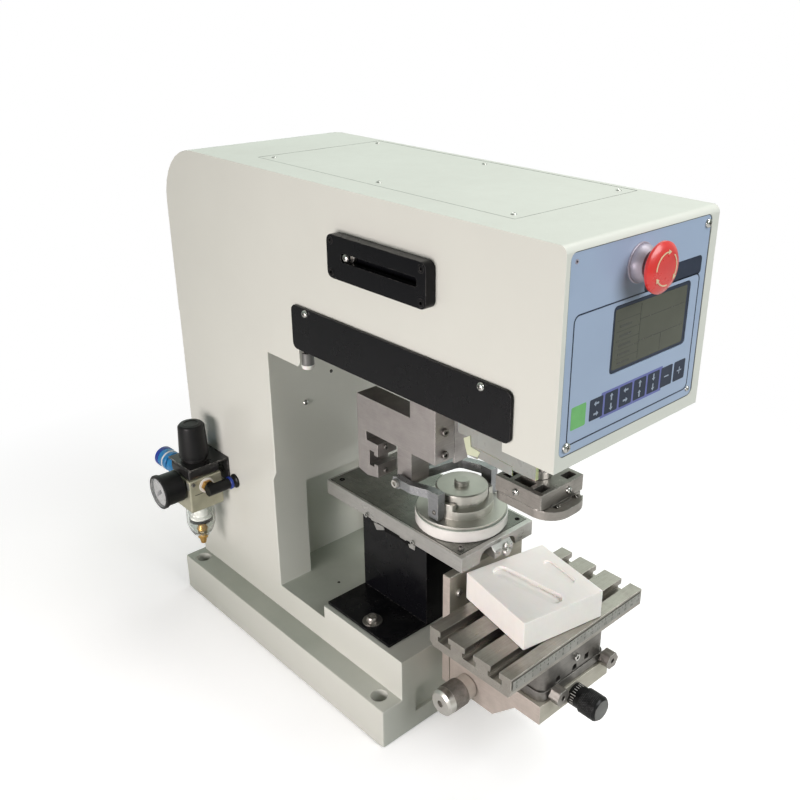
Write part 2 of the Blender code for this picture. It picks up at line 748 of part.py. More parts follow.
def build_head():
    half = BED_WIDTH / 2
    head = prism("head_casing", [head_outline(0, HEAD_FRONT_RADIUS, HEAD_REAR_RADIUS, False)],
                 "X", -half, half, paint(), edge=EDGE)
    cavity = prism("head_cavity",
                   [head_outline(HEAD_WALL, 0, HEAD_REAR_RADIUS - HEAD_WALL, True)],
                   "X", -half + HEAD_WALL, half - HEAD_WALL, cutter=True)
    opening = prism("side_opening",
                    [rounded([(SIDE_OPENING_FRONT, HEAD_UNDERSIDE - OVERRUN * 2, 0),
                              (HEAD_TAB_Y + GAP, HEAD_UNDERSIDE - OVERRUN * 2, 0),
                              (HEAD_TAB_Y + GAP, SIDE_OPENING_TOP, SIDE_OPENING_RADIUS),
                              (SIDE_OPENING_FRONT, SIDE_OPENING_TOP, SIDE_OPENING_RADIUS)])],
                    "X", -half - OVERRUN, -half + HEAD_WALL + OVERRUN, cutter=True)
    depth = COVER_THICKNESS + GAP
    rebate = block("cover_rebate", (COVER_LEFT, COVER_RIGHT), (COVER_FRONT, COVER_REAR),
                   (HEAD_TOP - depth, HEAD_TOP + OVERRUN), cutter=True)
    hatch = block("cover_hatch", (COVER_LEFT + COVER_LEDGE, COVER_RIGHT - COVER_LEDGE),
                  (COVER_FRONT + COVER_LEDGE, COVER_REAR - COVER_LEDGE),
                  (HEAD_TOP - HEAD_WALL - OVERRUN, HEAD_TOP), cutter=True)
    recess_depth = PANEL_INSET + PANEL_THICKNESS + GAP
    recess = prism("panel_recess",
                   [rectangle((PANEL_LEFT, PANEL_RIGHT), (PANEL_BOTTOM, PANEL_TOP),
                              PANEL_RADIUS)],
                   "Y", HEAD_FRONT - OVERRUN, HEAD_FRONT + recess_depth, cutter=True)
    stem_hole = rod("stem_hole", (ESTOP_X, HEAD_FRONT - OVERRUN, ESTOP_Z), "Y",
                    ESTOP_STEM_RADIUS + RUNNING_GAP, HEAD_WALL + 2 * OVERRUN, SIDES_SMALL,
                    cutter=True)
    cut(head, cavity, opening, rebate, hatch, recess, stem_hole)

    block("top_cover", (COVER_LEFT + GAP, COVER_RIGHT - GAP),
          (COVER_FRONT + GAP, COVER_REAR - GAP), (HEAD_TOP - COVER_THICKNESS, HEAD_TOP),
          paint())


def build_panel():
    face = HEAD_FRONT + PANEL_INSET
    back = face + PANEL_THICKNESS
    panel = prism("control_panel",
                  [rectangle((PANEL_LEFT + GAP, PANEL_RIGHT - GAP),
                             (PANEL_BOTTOM + GAP, PANEL_TOP - GAP), PANEL_RADIUS - GAP)],
                  "Y", face, back, material("panel_blue", (0.29, 0.38, 0.56), 0.35))
    window = prism("screen_hole",
                   [rectangle((SCREEN_LEFT, SCREEN_RIGHT), (SCREEN_BOTTOM, SCREEN_TOP),
                              SCREEN_RADIUS)],
                   "Y", face - OVERRUN, back + OVERRUN, cutter=True)
    hole = rod("panel_stem_hole", (ESTOP_X, face - OVERRUN, ESTOP_Z), "Y",
               ESTOP_STEM_RADIUS + RUNNING_GAP, PANEL_THICKNESS + 2 * OVERRUN, SIDES_SMALL,
               cutter=True)
    cut(panel, window, hole)
    prism("screen",
          [rectangle((SCREEN_LEFT + GAP, SCREEN_RIGHT - GAP),
                     (SCREEN_BOTTOM + GAP, SCREEN_TOP - GAP), SCREEN_RADIUS - GAP)],
          "Y", back - SCREEN_THICKNESS, back, material("screen_glass", (0.16, 0.17, 0.12), 0.2))
    return face


def build_estop(face):
    seat = (ESTOP_X, face - GAP, ESTOP_Z)
    bore = ESTOP_STEM_RADIUS + RUNNING_GAP
    rim = ESTOP_COLLAR_RADIUS - ESTOP_HEAD_NECK_RADIUS
    turned("estop_collar",
           [(bore, ESTOP_COLLAR_LENGTH), (ESTOP_HEAD_NECK_RADIUS, ESTOP_COLLAR_LENGTH),
            (ESTOP_COLLAR_RADIUS - rim / 3, ESTOP_COLLAR_LENGTH - rim),
            (ESTOP_COLLAR_RADIUS, rim), (ESTOP_COLLAR_RADIUS, 0), (bore, 0)],
           seat, "-Y", SIDES, material("estop_collar", (0.45, 0.42, 0.48), 0.3, 0.8),
           closed=True)
    standoff = ESTOP_COLLAR_LENGTH + ESTOP_TRAVEL + RUNNING_GAP
    joint = (ESTOP_X, seat[1] - standoff, ESTOP_Z)
    rod("estop_stem", (ESTOP_X, joint[1] + GAP, ESTOP_Z), "Y", ESTOP_STEM_RADIUS,
        standoff + HEAD_WALL + ESTOP_STEM_BACK, SIDES_SMALL, black_plastic(), origin=joint)
    thickness = ESTOP_HEAD_THICKNESS
    turned("estop_head",
           [(0, thickness), (ESTOP_HEAD_RADIUS * 0.62, thickness * 0.98),
            (ESTOP_HEAD_RADIUS * 0.86, thickness * 0.86), (ESTOP_HEAD_RADIUS, thickness * 0.60),
            (ESTOP_HEAD_RADIUS, thickness * 0.36), (ESTOP_HEAD_RADIUS * 0.90, thickness * 0.16),
            (ESTOP_HEAD_NECK_RADIUS, 0), (0, 0)],
           joint, "-Y", SIDES_LARGE, material("estop_red", (0.62, 0.02, 0.03), 0.3),
           origin=joint)


def build_side_plates():
    wall = -BED_WIDTH / 2 - GAP
    prism("guard_plate",
          [rectangle((GUARD_FRONT, GUARD_REAR), (GUARD_BOTTOM, GUARD_TOP), GUARD_RADIUS)],
          "X", wall - GUARD_THICKNESS, wall, black_paint())
    plate = prism("slot_plate",
                  [rectangle((SLOT_PLATE_FRONT, SLOT_PLATE_REAR),
                             (SLOT_PLATE_BOTTOM, SLOT_PLATE_TOP), SLOT_PLATE_RADIUS)],
                  "X", wall - SLOT_PLATE_THICKNESS, wall, black_paint())
    slot = prism("stop_slot",
                 [rectangle((SLOT_FRONT, SLOT_REAR),
                            (SLOT_Z - SLOT_HEIGHT / 2, SLOT_Z + SLOT_HEIGHT / 2),
                            SLOT_HEIGHT / 3)],
                 "X", wall - SLOT_PLATE_THICKNESS - OVERRUN, wall + OVERRUN, cutter=True)
    spread = (SLOT_GROOVE_HEIGHT - SLOT_HEIGHT) / 2
    groove = prism("stop_groove",
                   [rectangle((SLOT_FRONT - spread, SLOT_REAR + spread),
                              (SLOT_Z - SLOT_GROOVE_HEIGHT / 2, SLOT_Z + SLOT_GROOVE_HEIGHT / 2),
                              SLOT_GROOVE_HEIGHT / 3)],
                   "X", wall - SLOT_GROOVE_DEPTH, wall + OVERRUN, cutter=True)
    cut(plate, slot, groove)
    head = SLOT_GROOVE_HEIGHT / 2 - RUNNING_GAP
    pin_y = SLOT_REAR - STOP_PIN_RADIUS - RUNNING_GAP
    length = SLOT_PLATE_THICKNESS - STOP_PIN_INSET - GAP
    turned("stop_pin",
           [(0, length), (STOP_PIN_RADIUS, length), (STOP_PIN_RADIUS, STOP_PIN_HEAD),
            (head, STOP_PIN_HEAD), (head, 0), (0, 0)],
           (wall - GAP, pin_y, SLOT_Z), "-X", SIDES_SMALL, bright_steel(),
           origin=(wall, pin_y, SLOT_Z))


# Rails and carriage inside the head

def build_rails():
    half = BED_WIDTH / 2 - HEAD_WALL - GAP
    block("rail_plate", (-half, half), (RAIL_PLATE_FRONT, RAIL_PLATE_REAR),
          (RAIL_PLATE_BOTTOM, RAIL_PLATE_BOTTOM + RAIL_PLATE_THICKNESS), machined_aluminium())
    top = RAIL_PLATE_BOTTOM - GAP
    for name, x in (("guide_rail_left", -RAIL_X), ("guide_rail_right", RAIL_X)):
        block(name, (x - RAIL_WIDTH / 2, x + RAIL_WIDTH / 2),
              (RAIL_PLATE_FRONT + RAIL_END_INSET, RAIL_PLATE_REAR - RAIL_END_INSET),
              (top - RAIL_HEIGHT, top), bright_steel())


def build_carriage():
    low = BRIDGE_TOP - BRIDGE_THICKNESS
    channel = RAIL_WIDTH / 2 + RUNNING_GAP
    floor = RAIL_PLATE_BOTTOM - GAP - RAIL_HEIGHT - GAP
    cap = BRIDGE_TOP + BEARING_HEIGHT
    outline = [(-BRIDGE_HALF_WIDTH, BRIDGE_TOP), (-BRIDGE_HALF_WIDTH, low),
               (BRIDGE_HALF_WIDTH, low), (BRIDGE_HALF_WIDTH, BRIDGE_TOP)]
    for x in (RAIL_X, -RAIL_X):
        outline += [(x + channel + BEARING_WALL, BRIDGE_TOP), (x + channel + BEARING_WALL, cap),
                    (x + channel, cap), (x + channel, floor), (x - channel, floor),
                    (x - channel, cap), (x - channel - BEARING_WALL, cap),
                    (x - channel - BEARING_WALL, BRIDGE_TOP)]
    bridge = prism("carriage_bridge", [outline], "Y", BRIDGE_SHOULDER, BRIDGE_REAR,
                   machined_aluminium())
    nose = block("bridge_nose", (-BRIDGE_NOSE_HALF_WIDTH, BRIDGE_NOSE_HALF_WIDTH),
                 (BRIDGE_FRONT, BRIDGE_SHOULDER + OVERRUN),
                 (low + FINE_EDGE, BRIDGE_TOP - FINE_EDGE), cutter=True)
    fuse(bridge, nose)

    top = low - GAP
    side = [(SIDE_BLOCK_FRONT, SIDE_BLOCK_BOTTOM, 0), (SIDE_BLOCK_FRONT, top, 0),
            (SIDE_BLOCK_STEP_Y, top, 0), (SIDE_BLOCK_STEP_Y, SIDE_BLOCK_LOW_TOP, 0),
            (SIDE_BLOCK_REAR, SIDE_BLOCK_LOW_TOP, 0), (SIDE_BLOCK_REAR, CLAMP_BOTTOM, 0),
            (CLAMP_LEG_Y, CLAMP_BOTTOM - CLAMP_FOOT_DROP, 0),
            (CLAMP_FRONT, CLAMP_BOTTOM, 0)]
    middle = (CLAMP_TOP + CLAMP_BOTTOM) / 2
    mouth = (middle - CLAMP_SLOT_MOUTH / 2, middle + CLAMP_SLOT_MOUTH / 2)
    tee = (middle - CLAMP_SLOT_HEIGHT / 2, middle + CLAMP_SLOT_HEIGHT / 2)
    lip = CLAMP_FRONT + CLAMP_LIP
    deep = CLAMP_FRONT + CLAMP_SLOT_DEPTH
    side += [(CLAMP_FRONT, mouth[0], 0), (lip, mouth[0], 0), (lip, tee[0], 0),
             (deep, tee[0], 0), (deep, tee[1], 0), (lip, tee[1], 0), (lip, mouth[1], 0),
             (CLAMP_FRONT, mouth[1], 0), (CLAMP_FRONT, CLAMP_TOP, 0),
             (CLAMP_LEG_Y, CLAMP_TOP, 0), (CLAMP_LEG_Y, SIDE_BLOCK_BOTTOM, 0)]
    left = SIDE_BLOCK_LEFT
    plate = prism("carriage_block", [rounded(side)], "X", left, left + SIDE_BLOCK_THICKNESS,
                  machined_aluminium(), edge=FINE_EDGE)
    lug_radius = (LUG_REAR - LUG_FRONT) / 2
    lug = prism("fork_lug",
                [rounded([(LUG_FRONT, LUG_BOTTOM, lug_radius * 0.9),
                          (LUG_REAR, LUG_BOTTOM, lug_radius * 0.9),
                          (LUG_REAR, SIDE_BLOCK_BOTTOM + EDGE, 0),
                          (LUG_FRONT, SIDE_BLOCK_BOTTOM + EDGE, 0)])],
                "X", LUG_LEFT, LUG_RIGHT, cutter=True)
    step = prism("lug_top",
                 [rectangle((LUG_FRONT, LUG_REAR),
                            (SIDE_BLOCK_BOTTOM, SIDE_BLOCK_BOTTOM + CLAMP_SLOT_HEIGHT))],
                 "X", LUG_LEFT, LUG_RIGHT, cutter=True)
    bore = rod("fork_bore", (LUG_LEFT - OVERRUN, FORK_PIVOT_Y, FORK_PIVOT_Z), "X",
               FORK_SHAFT_RADIUS + RUNNING_GAP, LUG_RIGHT - LUG_LEFT + 2 * OVERRUN, SIDES,
               cutter=True)
    fuse(plate, step, lug)
    cut(plate, bore)

    top += FINE_EDGE
    face = CHEEK_FACE_X + CHEEK_THICKNESS
    cheek = [(CHEEK_FRONT, top), (CHEEK_FRONT, CHEEK_BOTTOM),
             (CHEEK_REAR - 2 * CHEEK_NOTCH, CHEEK_BOTTOM),
             (CHEEK_REAR - 2 * CHEEK_NOTCH, CHEEK_BOTTOM - CHEEK_NOTCH / 2),
             (CHEEK_REAR - CHEEK_NOTCH, CHEEK_BOTTOM - CHEEK_NOTCH / 2),
             (CHEEK_REAR - CHEEK_NOTCH, CHEEK_BOTTOM + CHEEK_NOTCH),
             (CHEEK_REAR, CHEEK_BOTTOM + CHEEK_NOTCH), (CHEEK_REAR, top)]
    prism("cylinder_cheek", [cheek], "X", CHEEK_FACE_X, face,
          material("cheek_plastic", (0.62, 0.66, 0.60), 0.4))

    side_y = (PAD_Y - CYLINDER_SIDE / 2, PAD_Y + CYLINDER_SIDE / 2)
    cylinder = block("pad_cylinder", (-CYLINDER_SIDE / 2, CYLINDER_SIDE / 2), side_y,
                     (CYLINDER_BOTTOM, top), machined_aluminium(), edge=EDGE)
    pad_bore = rod("pad_bore", (0, PAD_Y, CYLINDER_BOTTOM - OVERRUN), "Z",
                   ROD_RADIUS + RUNNING_GAP, top - CYLINDER_ROOF - CYLINDER_BOTTOM + OVERRUN,
                   SIDES, cutter=True)
    cut(cylinder, pad_bore)


def build_pad_head():
    seat = PAD_BLOCK_TOP + GAP
    joint = (0, PAD_Y, seat)
    height = ROD_TOP - seat
    turned("pad_rod",
           [(0, height), (ROD_RADIUS, height), (ROD_RADIUS, ROD_COLLAR_HEIGHT),
            (ROD_COLLAR_RADIUS, ROD_COLLAR_HEIGHT), (ROD_COLLAR_RADIUS, 0), (0, 0)],
           joint, "Z", SIDES, bright_steel(), origin=joint)
    holder = block("pad_holder", (-PAD_BLOCK_HALF_WIDTH, PAD_BLOCK_HALF_WIDTH),
                   (PAD_BLOCK_FRONT, PAD_BLOCK_REAR), (PAD_BLOCK_BOTTOM, PAD_BLOCK_TOP),
                   machined_aluminium(), origin=joint, edge=FINE_EDGE)
    half_y = (PAD_BLOCK_REAR - PAD_BLOCK_FRONT) / 2
    middle_y = (PAD_BLOCK_REAR + PAD_BLOCK_FRONT) / 2
    pockets = []
    for x0, x1, y0, y1 in PAD_POCKET_SHARES:
        pockets.append(block("pad_pocket",
                             (x0 * PAD_BLOCK_HALF_WIDTH, x1 * PAD_BLOCK_HALF_WIDTH),
                             (middle_y + y0 * half_y, middle_y + y1 * half_y),
                             (PAD_BLOCK_TOP - PAD_POCKET_DEPTH, PAD_BLOCK_TOP + OVERRUN),
                             cutter=True))
    cut(holder, *pockets)
    top = PAD_BLOCK_BOTTOM - GAP
    low = top - PAD_PLATE_THICKNESS
    wide = PAD_PLATE_HALF_WIDTH
    front = PAD_PLATE_FRONT_RADIUS
    rear = PAD_PLATE_REAR_RADIUS
    plate = prism("pad_plate",
                  [rounded([(-wide, PAD_PLATE_FRONT, front), (wide, PAD_PLATE_FRONT, front),
                            (wide, PAD_PLATE_REAR, rear), (-wide, PAD_PLATE_REAR, rear)],
                           2 * CORNER_STEPS)],
                  "Z", low, top, ground_steel(), origin=joint)
    ledge = block("pad_ledge", (-wide / 2, wide + OVERRUN),
                  (PAD_PLATE_FRONT + front / 3, PAD_BLOCK_FRONT),
                  (top - PAD_PLATE_LEDGE, top + OVERRUN), cutter=True)
    cut(plate, ledge)


# Pedestal, tray and cliche

def build_pedestal():
    foot = BED_HIGH + GAP
    flange = foot + PEDESTAL_FOOT_THICKNESS
    top = TRAY_BOTTOM - GAP
    body = block("pedestal", (-PEDESTAL_BODY_HALF_WIDTH, PEDESTAL_BODY_HALF_WIDTH),
                 (PEDESTAL_FRONT, PEDESTAL_REAR), (foot, top), black_paint())
    plate = block("pedestal_foot", (-PEDESTAL_FOOT_HALF_WIDTH, PEDESTAL_FOOT_HALF_WIDTH),
                  (PEDESTAL_FRONT, PEDESTAL_FOOT_REAR - PEDESTAL_FOOT_THICKNESS), (foot, flange),
                  cutter=True)
    notch = block("pedestal_notch",
                  (-PEDESTAL_BODY_HALF_WIDTH - OVERRUN, PEDESTAL_BODY_HALF_WIDTH + OVERRUN),
                  (PEDESTAL_NOTCH_FRONT, PEDESTAL_NOTCH_REAR),
                  (top - PEDESTAL_NOTCH_DEPTH, top + OVERRUN), cutter=True)
    fuse(body, plate)
    cut(body, notch)
    seat = flange + GAP
    for name, x in (("pedestal_bolt_left", -PEDESTAL_BOLT_X),
                    ("pedestal_bolt_right", PEDESTAL_BOLT_X)):
        height = WASHER_THICKNESS + BOLT_HEAD_HEIGHT
        turned(name,
               [(0, height - BOLT_SOCKET_DEPTH), (BOLT_SOCKET_RADIUS, height - BOLT_SOCKET_DEPTH),
                (BOLT_SOCKET_RADIUS, height), (BOLT_HEAD_RADIUS * 0.8, height),
                (BOLT_HEAD_RADIUS, height - BOLT_HEAD_HEIGHT * 0.4),
                (BOLT_HEAD_RADIUS, WASHER_THICKNESS), (WASHER_RADIUS, WASHER_THICKNESS),
                (WASHER_RADIUS, 0), (0, 0)],
               (x, PEDESTAL_BOLT_Y, seat), "Z", SIDES, bright_steel())


def build_tray():
    tray = block("cliche_tray", (-TRAY_HALF_WIDTH, TRAY_HALF_WIDTH), (TRAY_FRONT, TRAY_REAR),
                 (TRAY_BOTTOM, TRAY_TOP), machined_aluminium(), edge=FINE_EDGE)
    inner = TRAY_HALF_WIDTH - TRAY_RIM
    floor = TRAY_TOP + CLICHE_PROUD - CLICHE_THICKNESS - GAP
    pocket = block("cliche_pocket", (-inner, inner), (CLICHE_FRONT, TRAY_REAR - TRAY_RIM),
                   (floor, TRAY_TOP + OVERRUN), cutter=True)
    notch = prism("tray_notch",
                  [rounded([(-TRAY_NOTCH_HALF_WIDTH, TRAY_BOTTOM - OVERRUN, 0),
                            (TRAY_NOTCH_HALF_WIDTH, TRAY_BOTTOM - OVERRUN, 0),
                            (TRAY_NOTCH_HALF_WIDTH, TRAY_TOP - TRAY_NOTCH_ROOF, TRAY_NOTCH_ARCH),
                            (-TRAY_NOTCH_HALF_WIDTH, TRAY_TOP - TRAY_NOTCH_ROOF,
                             TRAY_NOTCH_ARCH)])],
                  "Y", TRAY_FRONT - OVERRUN, TRAY_FRONT + TRAY_NOTCH_DEPTH, cutter=True)
    tabs = []
    reach = PEDESTAL_BODY_HALF_WIDTH + TAB_STAND_OUT
    for y in (PEDESTAL_NOTCH_REAR - GAP, PEDESTAL_NOTCH_FRONT + GAP + TAB_LENGTH):
        tabs.append(block("tray_tab", (-reach, reach), (y - TAB_LENGTH, y),
                          (TRAY_BOTTOM - TAB_HEIGHT, TRAY_BOTTOM + EDGE), cutter=True))
    fuse(tray, *tabs)
    cut(tray, pocket, notch)
    block("cliche_plate", (-inner + GAP, inner - GAP),
          (CLICHE_FRONT + GAP, TRAY_REAR - TRAY_RIM - GAP),
          (TRAY_TOP + CLICHE_PROUD - CLICHE_THICKNESS, TRAY_TOP + CLICHE_PROUD),
          material("cliche_steel", (0.20, 0.20, 0.19), 0.30, 0.9))


def build_clamp():
    back = TRAY_FRONT + TRAY_NOTCH_DEPTH - GAP
    roof = TRAY_TOP - TRAY_NOTCH_ROOF - GAP
    cham = CLAMP_BLOCK_CHAMFER
    bar = prism("clamp_bar",
                [[(CLAMP_BLOCK_FRONT, TRAY_BOTTOM), (CLAMP_BLOCK_FRONT, roof - cham),
                  (CLAMP_BLOCK_FRONT + cham, roof), (back, roof), (back, TRAY_BOTTOM)][::-1]],
                "X", CLAMP_BLOCK_LEFT, CLAMP_BLOCK_RIGHT, ground_steel(), edge=FINE_EDGE)
    hole = rod("clamp_hole", (CLAMP_SCREW_X, CLAMP_BLOCK_FRONT - OVERRUN, CLAMP_SCREW_Z), "Y",
               CLAMP_SCREW_SHANK_RADIUS + RUNNING_GAP,
               CLAMP_SCREW_SHANK_LENGTH + OVERRUN + GAP, SIDES_SMALL, cutter=True)
    cut(bar, hole)
    joint = (CLAMP_SCREW_X, CLAMP_BLOCK_FRONT - GAP, CLAMP_SCREW_Z)
    head = CLAMP_SCREW_HEAD_LENGTH
    turned("clamp_screw",
           [(0, head), (CLAMP_SCREW_HEAD_RADIUS * 0.8, head),
            (CLAMP_SCREW_HEAD_RADIUS, head * 0.8), (CLAMP_SCREW_HEAD_RADIUS, 0),
            (CLAMP_SCREW_SHANK_RADIUS, 0),
            (CLAMP_SCREW_SHANK_RADIUS, -CLAMP_SCREW_SHANK_LENGTH),
            (0, -CLAMP_SCREW_SHANK_LENGTH)],
           joint, "-Y", SIDES_SMALL, bright_steel(), origin=joint)


# Ink cup and its fork

def cup_levels():
    """Heights of the cup's stacked faces, from the doctoring ring up."""
    ring = TRAY_TOP + CLICHE_PROUD + GAP
    flange = ring + RING_HEIGHT + GAP
    hub = flange + FLANGE_THICKNESS
    neck = hub + HUB_HEIGHT
    cap = neck + NECK_HEIGHT + GAP
    return ring, flange, hub, neck, cap


def build_cup():
    ring, flange, hub, neck, cap = cup_levels()
    pivot = (0, FORK_PIVOT_Y, FORK_PIVOT_Z)
    centre = (0, CUP_Y)
    turned("ink_ring",
           [(RING_BORE_RADIUS, RING_HEIGHT), (RING_RADIUS - RING_LIP, RING_HEIGHT),
            (RING_RADIUS, RING_HEIGHT - RING_LIP), (RING_RADIUS, RING_LIP * 2),
            (RING_RADIUS - RING_LIP, 0), (RING_BORE_RADIUS, 0)],
           (*centre, ring), "Z", SIDES_LARGE,
           material("ring_ceramic", (0.86, 0.85, 0.80), 0.25), origin=pivot, closed=True)
    body = turned("cup_body",
                  [(0, neck + NECK_HEIGHT - flange), (NECK_RADIUS, neck + NECK_HEIGHT - flange),
                   (NECK_RADIUS, neck - flange), (HUB_RADIUS, neck - flange),
                   (HUB_RADIUS, hub - flange), (FLANGE_RADIUS, hub - flange),
                   (FLANGE_RADIUS, 0), (0, 0)],
                  (*centre, flange), "Z", SIDES_LARGE, machined_aluminium(), origin=pivot)
    ears = turned("cup_ears",
                  [(HUB_RADIUS - EAR_THICKNESS, EAR_HEIGHT), (HUB_RADIUS, EAR_HEIGHT),
                   (HUB_RADIUS, -HUB_HEIGHT / 2), (HUB_RADIUS - EAR_THICKNESS, -HUB_HEIGHT / 2)],
                  (*centre, neck), "Z", SIDES_LARGE, cutter=True, closed=True)
    span = block("ear_span", (-RING_RADIUS, RING_RADIUS),
                 (CUP_Y - EAR_HALF_LENGTH, CUP_Y + EAR_HALF_LENGTH),
                 (neck - HUB_HEIGHT, neck + EAR_HEIGHT + OVERRUN), cutter=True)
    clip(ears, span)
    fuse(body, ears)
    top = CAP_HEIGHT + CAP_KNOB_HEIGHT
    turned("cup_cap",
           [(0, top), (CAP_KNOB_RADIUS - CAP_CHAMFER, top), (CAP_KNOB_RADIUS, top - CAP_CHAMFER),
            (CAP_KNOB_RADIUS, CAP_HEIGHT), (CAP_RADIUS - CAP_CHAMFER, CAP_HEIGHT),
            (CAP_RADIUS, CAP_HEIGHT - CAP_CHAMFER), (CAP_RADIUS, 0), (0, 0)],
           (*centre, cap), "Z", SIDES_LARGE, bright_steel(), origin=pivot)


def build_fork():
    pivot = (0, FORK_PIVOT_Y, FORK_PIVOT_Z)
    inner = HUB_RADIUS + GAP
    outer = inner + FORK_PAD_THICKNESS
    left_inner = FORK_LEFT_OUTER - FORK_ARM_THICKNESS
    bend = (FORK_PAD_REAR + FORK_PIVOT_Y) / 2
    left = [(-FORK_LEFT_OUTER, FORK_ARM_REAR, 0), (-FORK_LEFT_OUTER, bend, FORK_PAD_THICKNESS),
            (-outer, FORK_PAD_REAR, FORK_PAD_THICKNESS), (-outer, FORK_PAD_FRONT, 0),
            (-inner, FORK_PAD_FRONT, 0), (-inner, FORK_PAD_REAR, FORK_PAD_THICKNESS / 2),
            (-left_inner, bend + FORK_ARM_THICKNESS / 2, FORK_PAD_THICKNESS / 2),
            (-left_inner, FORK_ARM_REAR, 0)]
    arm_left = prism("fork_arm_left", [rounded(left, 2)], "Z", FORK_ARM_BOTTOM, FORK_ARM_TOP,
                     machined_aluminium(), origin=pivot)
    root = FORK_RIGHT_ROOT_X
    sweep = FORK_PIVOT_Y - FORK_ARM_THICKNESS
    right = [(root, FORK_ARM_REAR, 0), (root, sweep, 0),
             (inner - FORK_ARM_THICKNESS, sweep - FORK_ARM_THICKNESS, FORK_ARM_THICKNESS),
             (inner, FORK_PAD_REAR, FORK_PAD_THICKNESS / 2), (inner, FORK_PAD_FRONT, 0),
             (outer, FORK_PAD_FRONT, 0), (outer, FORK_PAD_REAR, FORK_PAD_THICKNESS),
             (inner, sweep - FORK_ARM_THICKNESS / 2, FORK_ARM_THICKNESS),
             (inner - 2 * FORK_ARM_THICKNESS, sweep + FORK_ARM_THICKNESS / 2,
              FORK_ARM_THICKNESS),
             (root + FORK_RIGHT_ROOT_WIDTH, FORK_ARM_REAR, 0)]
    arm_right = prism("fork_arm_right", [rounded(right, 2)], "Z", FORK_ARM_BOTTOM, FORK_ARM_TOP,
                      ground_steel(), origin=pivot)
    for sign, arm in ((-1, arm_left), (1, arm_right)):
        edges = sorted((sign * inner, sign * outer))
        drop = block("fork_pad", edges, (FORK_PAD_FRONT, FORK_PAD_REAR),
                     (FORK_PAD_BOTTOM, FORK_PAD_TOP), cutter=True)
        fuse(arm, drop)
    bore_radius = FORK_SHAFT_RADIUS + GAP
    for arm, x0, length in ((arm_left, -FORK_LEFT_OUTER, FORK_ARM_THICKNESS),
                            (arm_right, root, FORK_RIGHT_ROOT_WIDTH)):
        eye = rod("fork_eye", (x0, FORK_PIVOT_Y, FORK_PIVOT_Z), "X",
                  FORK_EYE_RADIUS, length, SIDES, cutter=True)
        hole = rod("fork_hole", (x0 - OVERRUN, FORK_PIVOT_Y, FORK_PIVOT_Z), "X", bore_radius,
                   length + 2 * OVERRUN, SIDES, cutter=True)
        fuse(arm, eye)
        cut(arm, hole)
    start = -FORK_LEFT_OUTER - EDGE
    end = root + FORK_RIGHT_ROOT_WIDTH + EDGE
    rod("fork_shaft", (start, FORK_PIVOT_Y, FORK_PIVOT_Z), "X", FORK_SHAFT_RADIUS, end - start,
        SIDES, bright_steel(), origin=pivot)


# Lift and cross table

def build_lift():
    rail_rear = PLINTH_FRONT - GAP
    rail_front = LIFT_PLATE_REAR + RUNNING_GAP
    block("lift_rail", (-LIFT_RAIL_HALF_WIDTH, LIFT_RAIL_HALF_WIDTH), (rail_front, rail_rear),
          (LIFT_RAIL_BOTTOM, LIFT_RAIL_TOP), bright_steel())
    joint = (0, LIFT_PLATE_REAR, KNEE_TOP)
    block("lift_plate", (-LIFT_PLATE_HALF_WIDTH, LIFT_PLATE_HALF_WIDTH),
          (LIFT_PLATE_FRONT, LIFT_PLATE_REAR), (KNEE_BOTTOM, LIFT_PLATE_TOP),
          machined_aluminium(), origin=joint, edge=FINE_EDGE)
    rear = LIFT_PLATE_FRONT - GAP
    side = [(rear, KNEE_TOP), (rear, KNEE_BOTTOM), (KNEE_SLOPE_REAR, KNEE_BOTTOM),
            (KNEE_SLOPE_FRONT, KNEE_NOSE_BOTTOM), (KNEE_FRONT, KNEE_NOSE_BOTTOM),
            (KNEE_FRONT, KNEE_TOP)]
    prism("knee", [side], "X", -KNEE_HALF_WIDTH, KNEE_HALF_WIDTH, machined_aluminium(),
          origin=joint, edge=FINE_EDGE)


def build_slides():
    joint = (0, SLIDE_REAR, KNEE_TOP)
    low = KNEE_TOP + GAP
    high = low + SLIDE_HEIGHT
    radius = SADDLE_RADIUS
    prism("cross_slide",
          [rectangle((-SLIDE_HALF_WIDTH, SLIDE_HALF_WIDTH), (SLIDE_FRONT, SLIDE_REAR), radius)],
          "Z", low, high, ground_steel(), origin=joint)
    top = TABLE_TOP - TABLE_THICKNESS - TABLE_KEEL_HEIGHT - GAP
    saddle = prism("saddle",
                   [rectangle((-SADDLE_HALF_WIDTH, SADDLE_HALF_WIDTH),
                              (SADDLE_FRONT, SADDLE_REAR), radius)],
                   "Z", high + GAP, top, ground_steel(), origin=joint)
    slots = []
    back = SADDLE_FRONT + SADDLE_SLOT_DEPTH
    for x in SADDLE_ARCH_X:
        arch = [(x - SADDLE_ARCH_RADIUS, SADDLE_ARCH_Z - SADDLE_ARCH_RADIUS, 0),
                (x + SADDLE_ARCH_RADIUS, SADDLE_ARCH_Z - SADDLE_ARCH_RADIUS, 0),
                (x + SADDLE_ARCH_RADIUS, SADDLE_ARCH_Z + SADDLE_ARCH_RADIUS,
                 SADDLE_ARCH_RADIUS * 0.9),
                (x - SADDLE_ARCH_RADIUS, SADDLE_ARCH_Z + SADDLE_ARCH_RADIUS,
                 SADDLE_ARCH_RADIUS * 0.9)]
        slots.append(prism("saddle_arch", [rounded(arch)], "Y", SADDLE_FRONT - OVERRUN, back,
                           cutter=True))
    slots.append(block("saddle_square",
                       (SADDLE_SQUARE_X - SADDLE_SQUARE_SIDE / 2,
                        SADDLE_SQUARE_X + SADDLE_SQUARE_SIDE / 2),
                       (SADDLE_FRONT - OVERRUN, back),
                       (SADDLE_ARCH_Z, SADDLE_ARCH_Z + SADDLE_SQUARE_SIDE), cutter=True))
    cut(saddle, *slots)
    return top


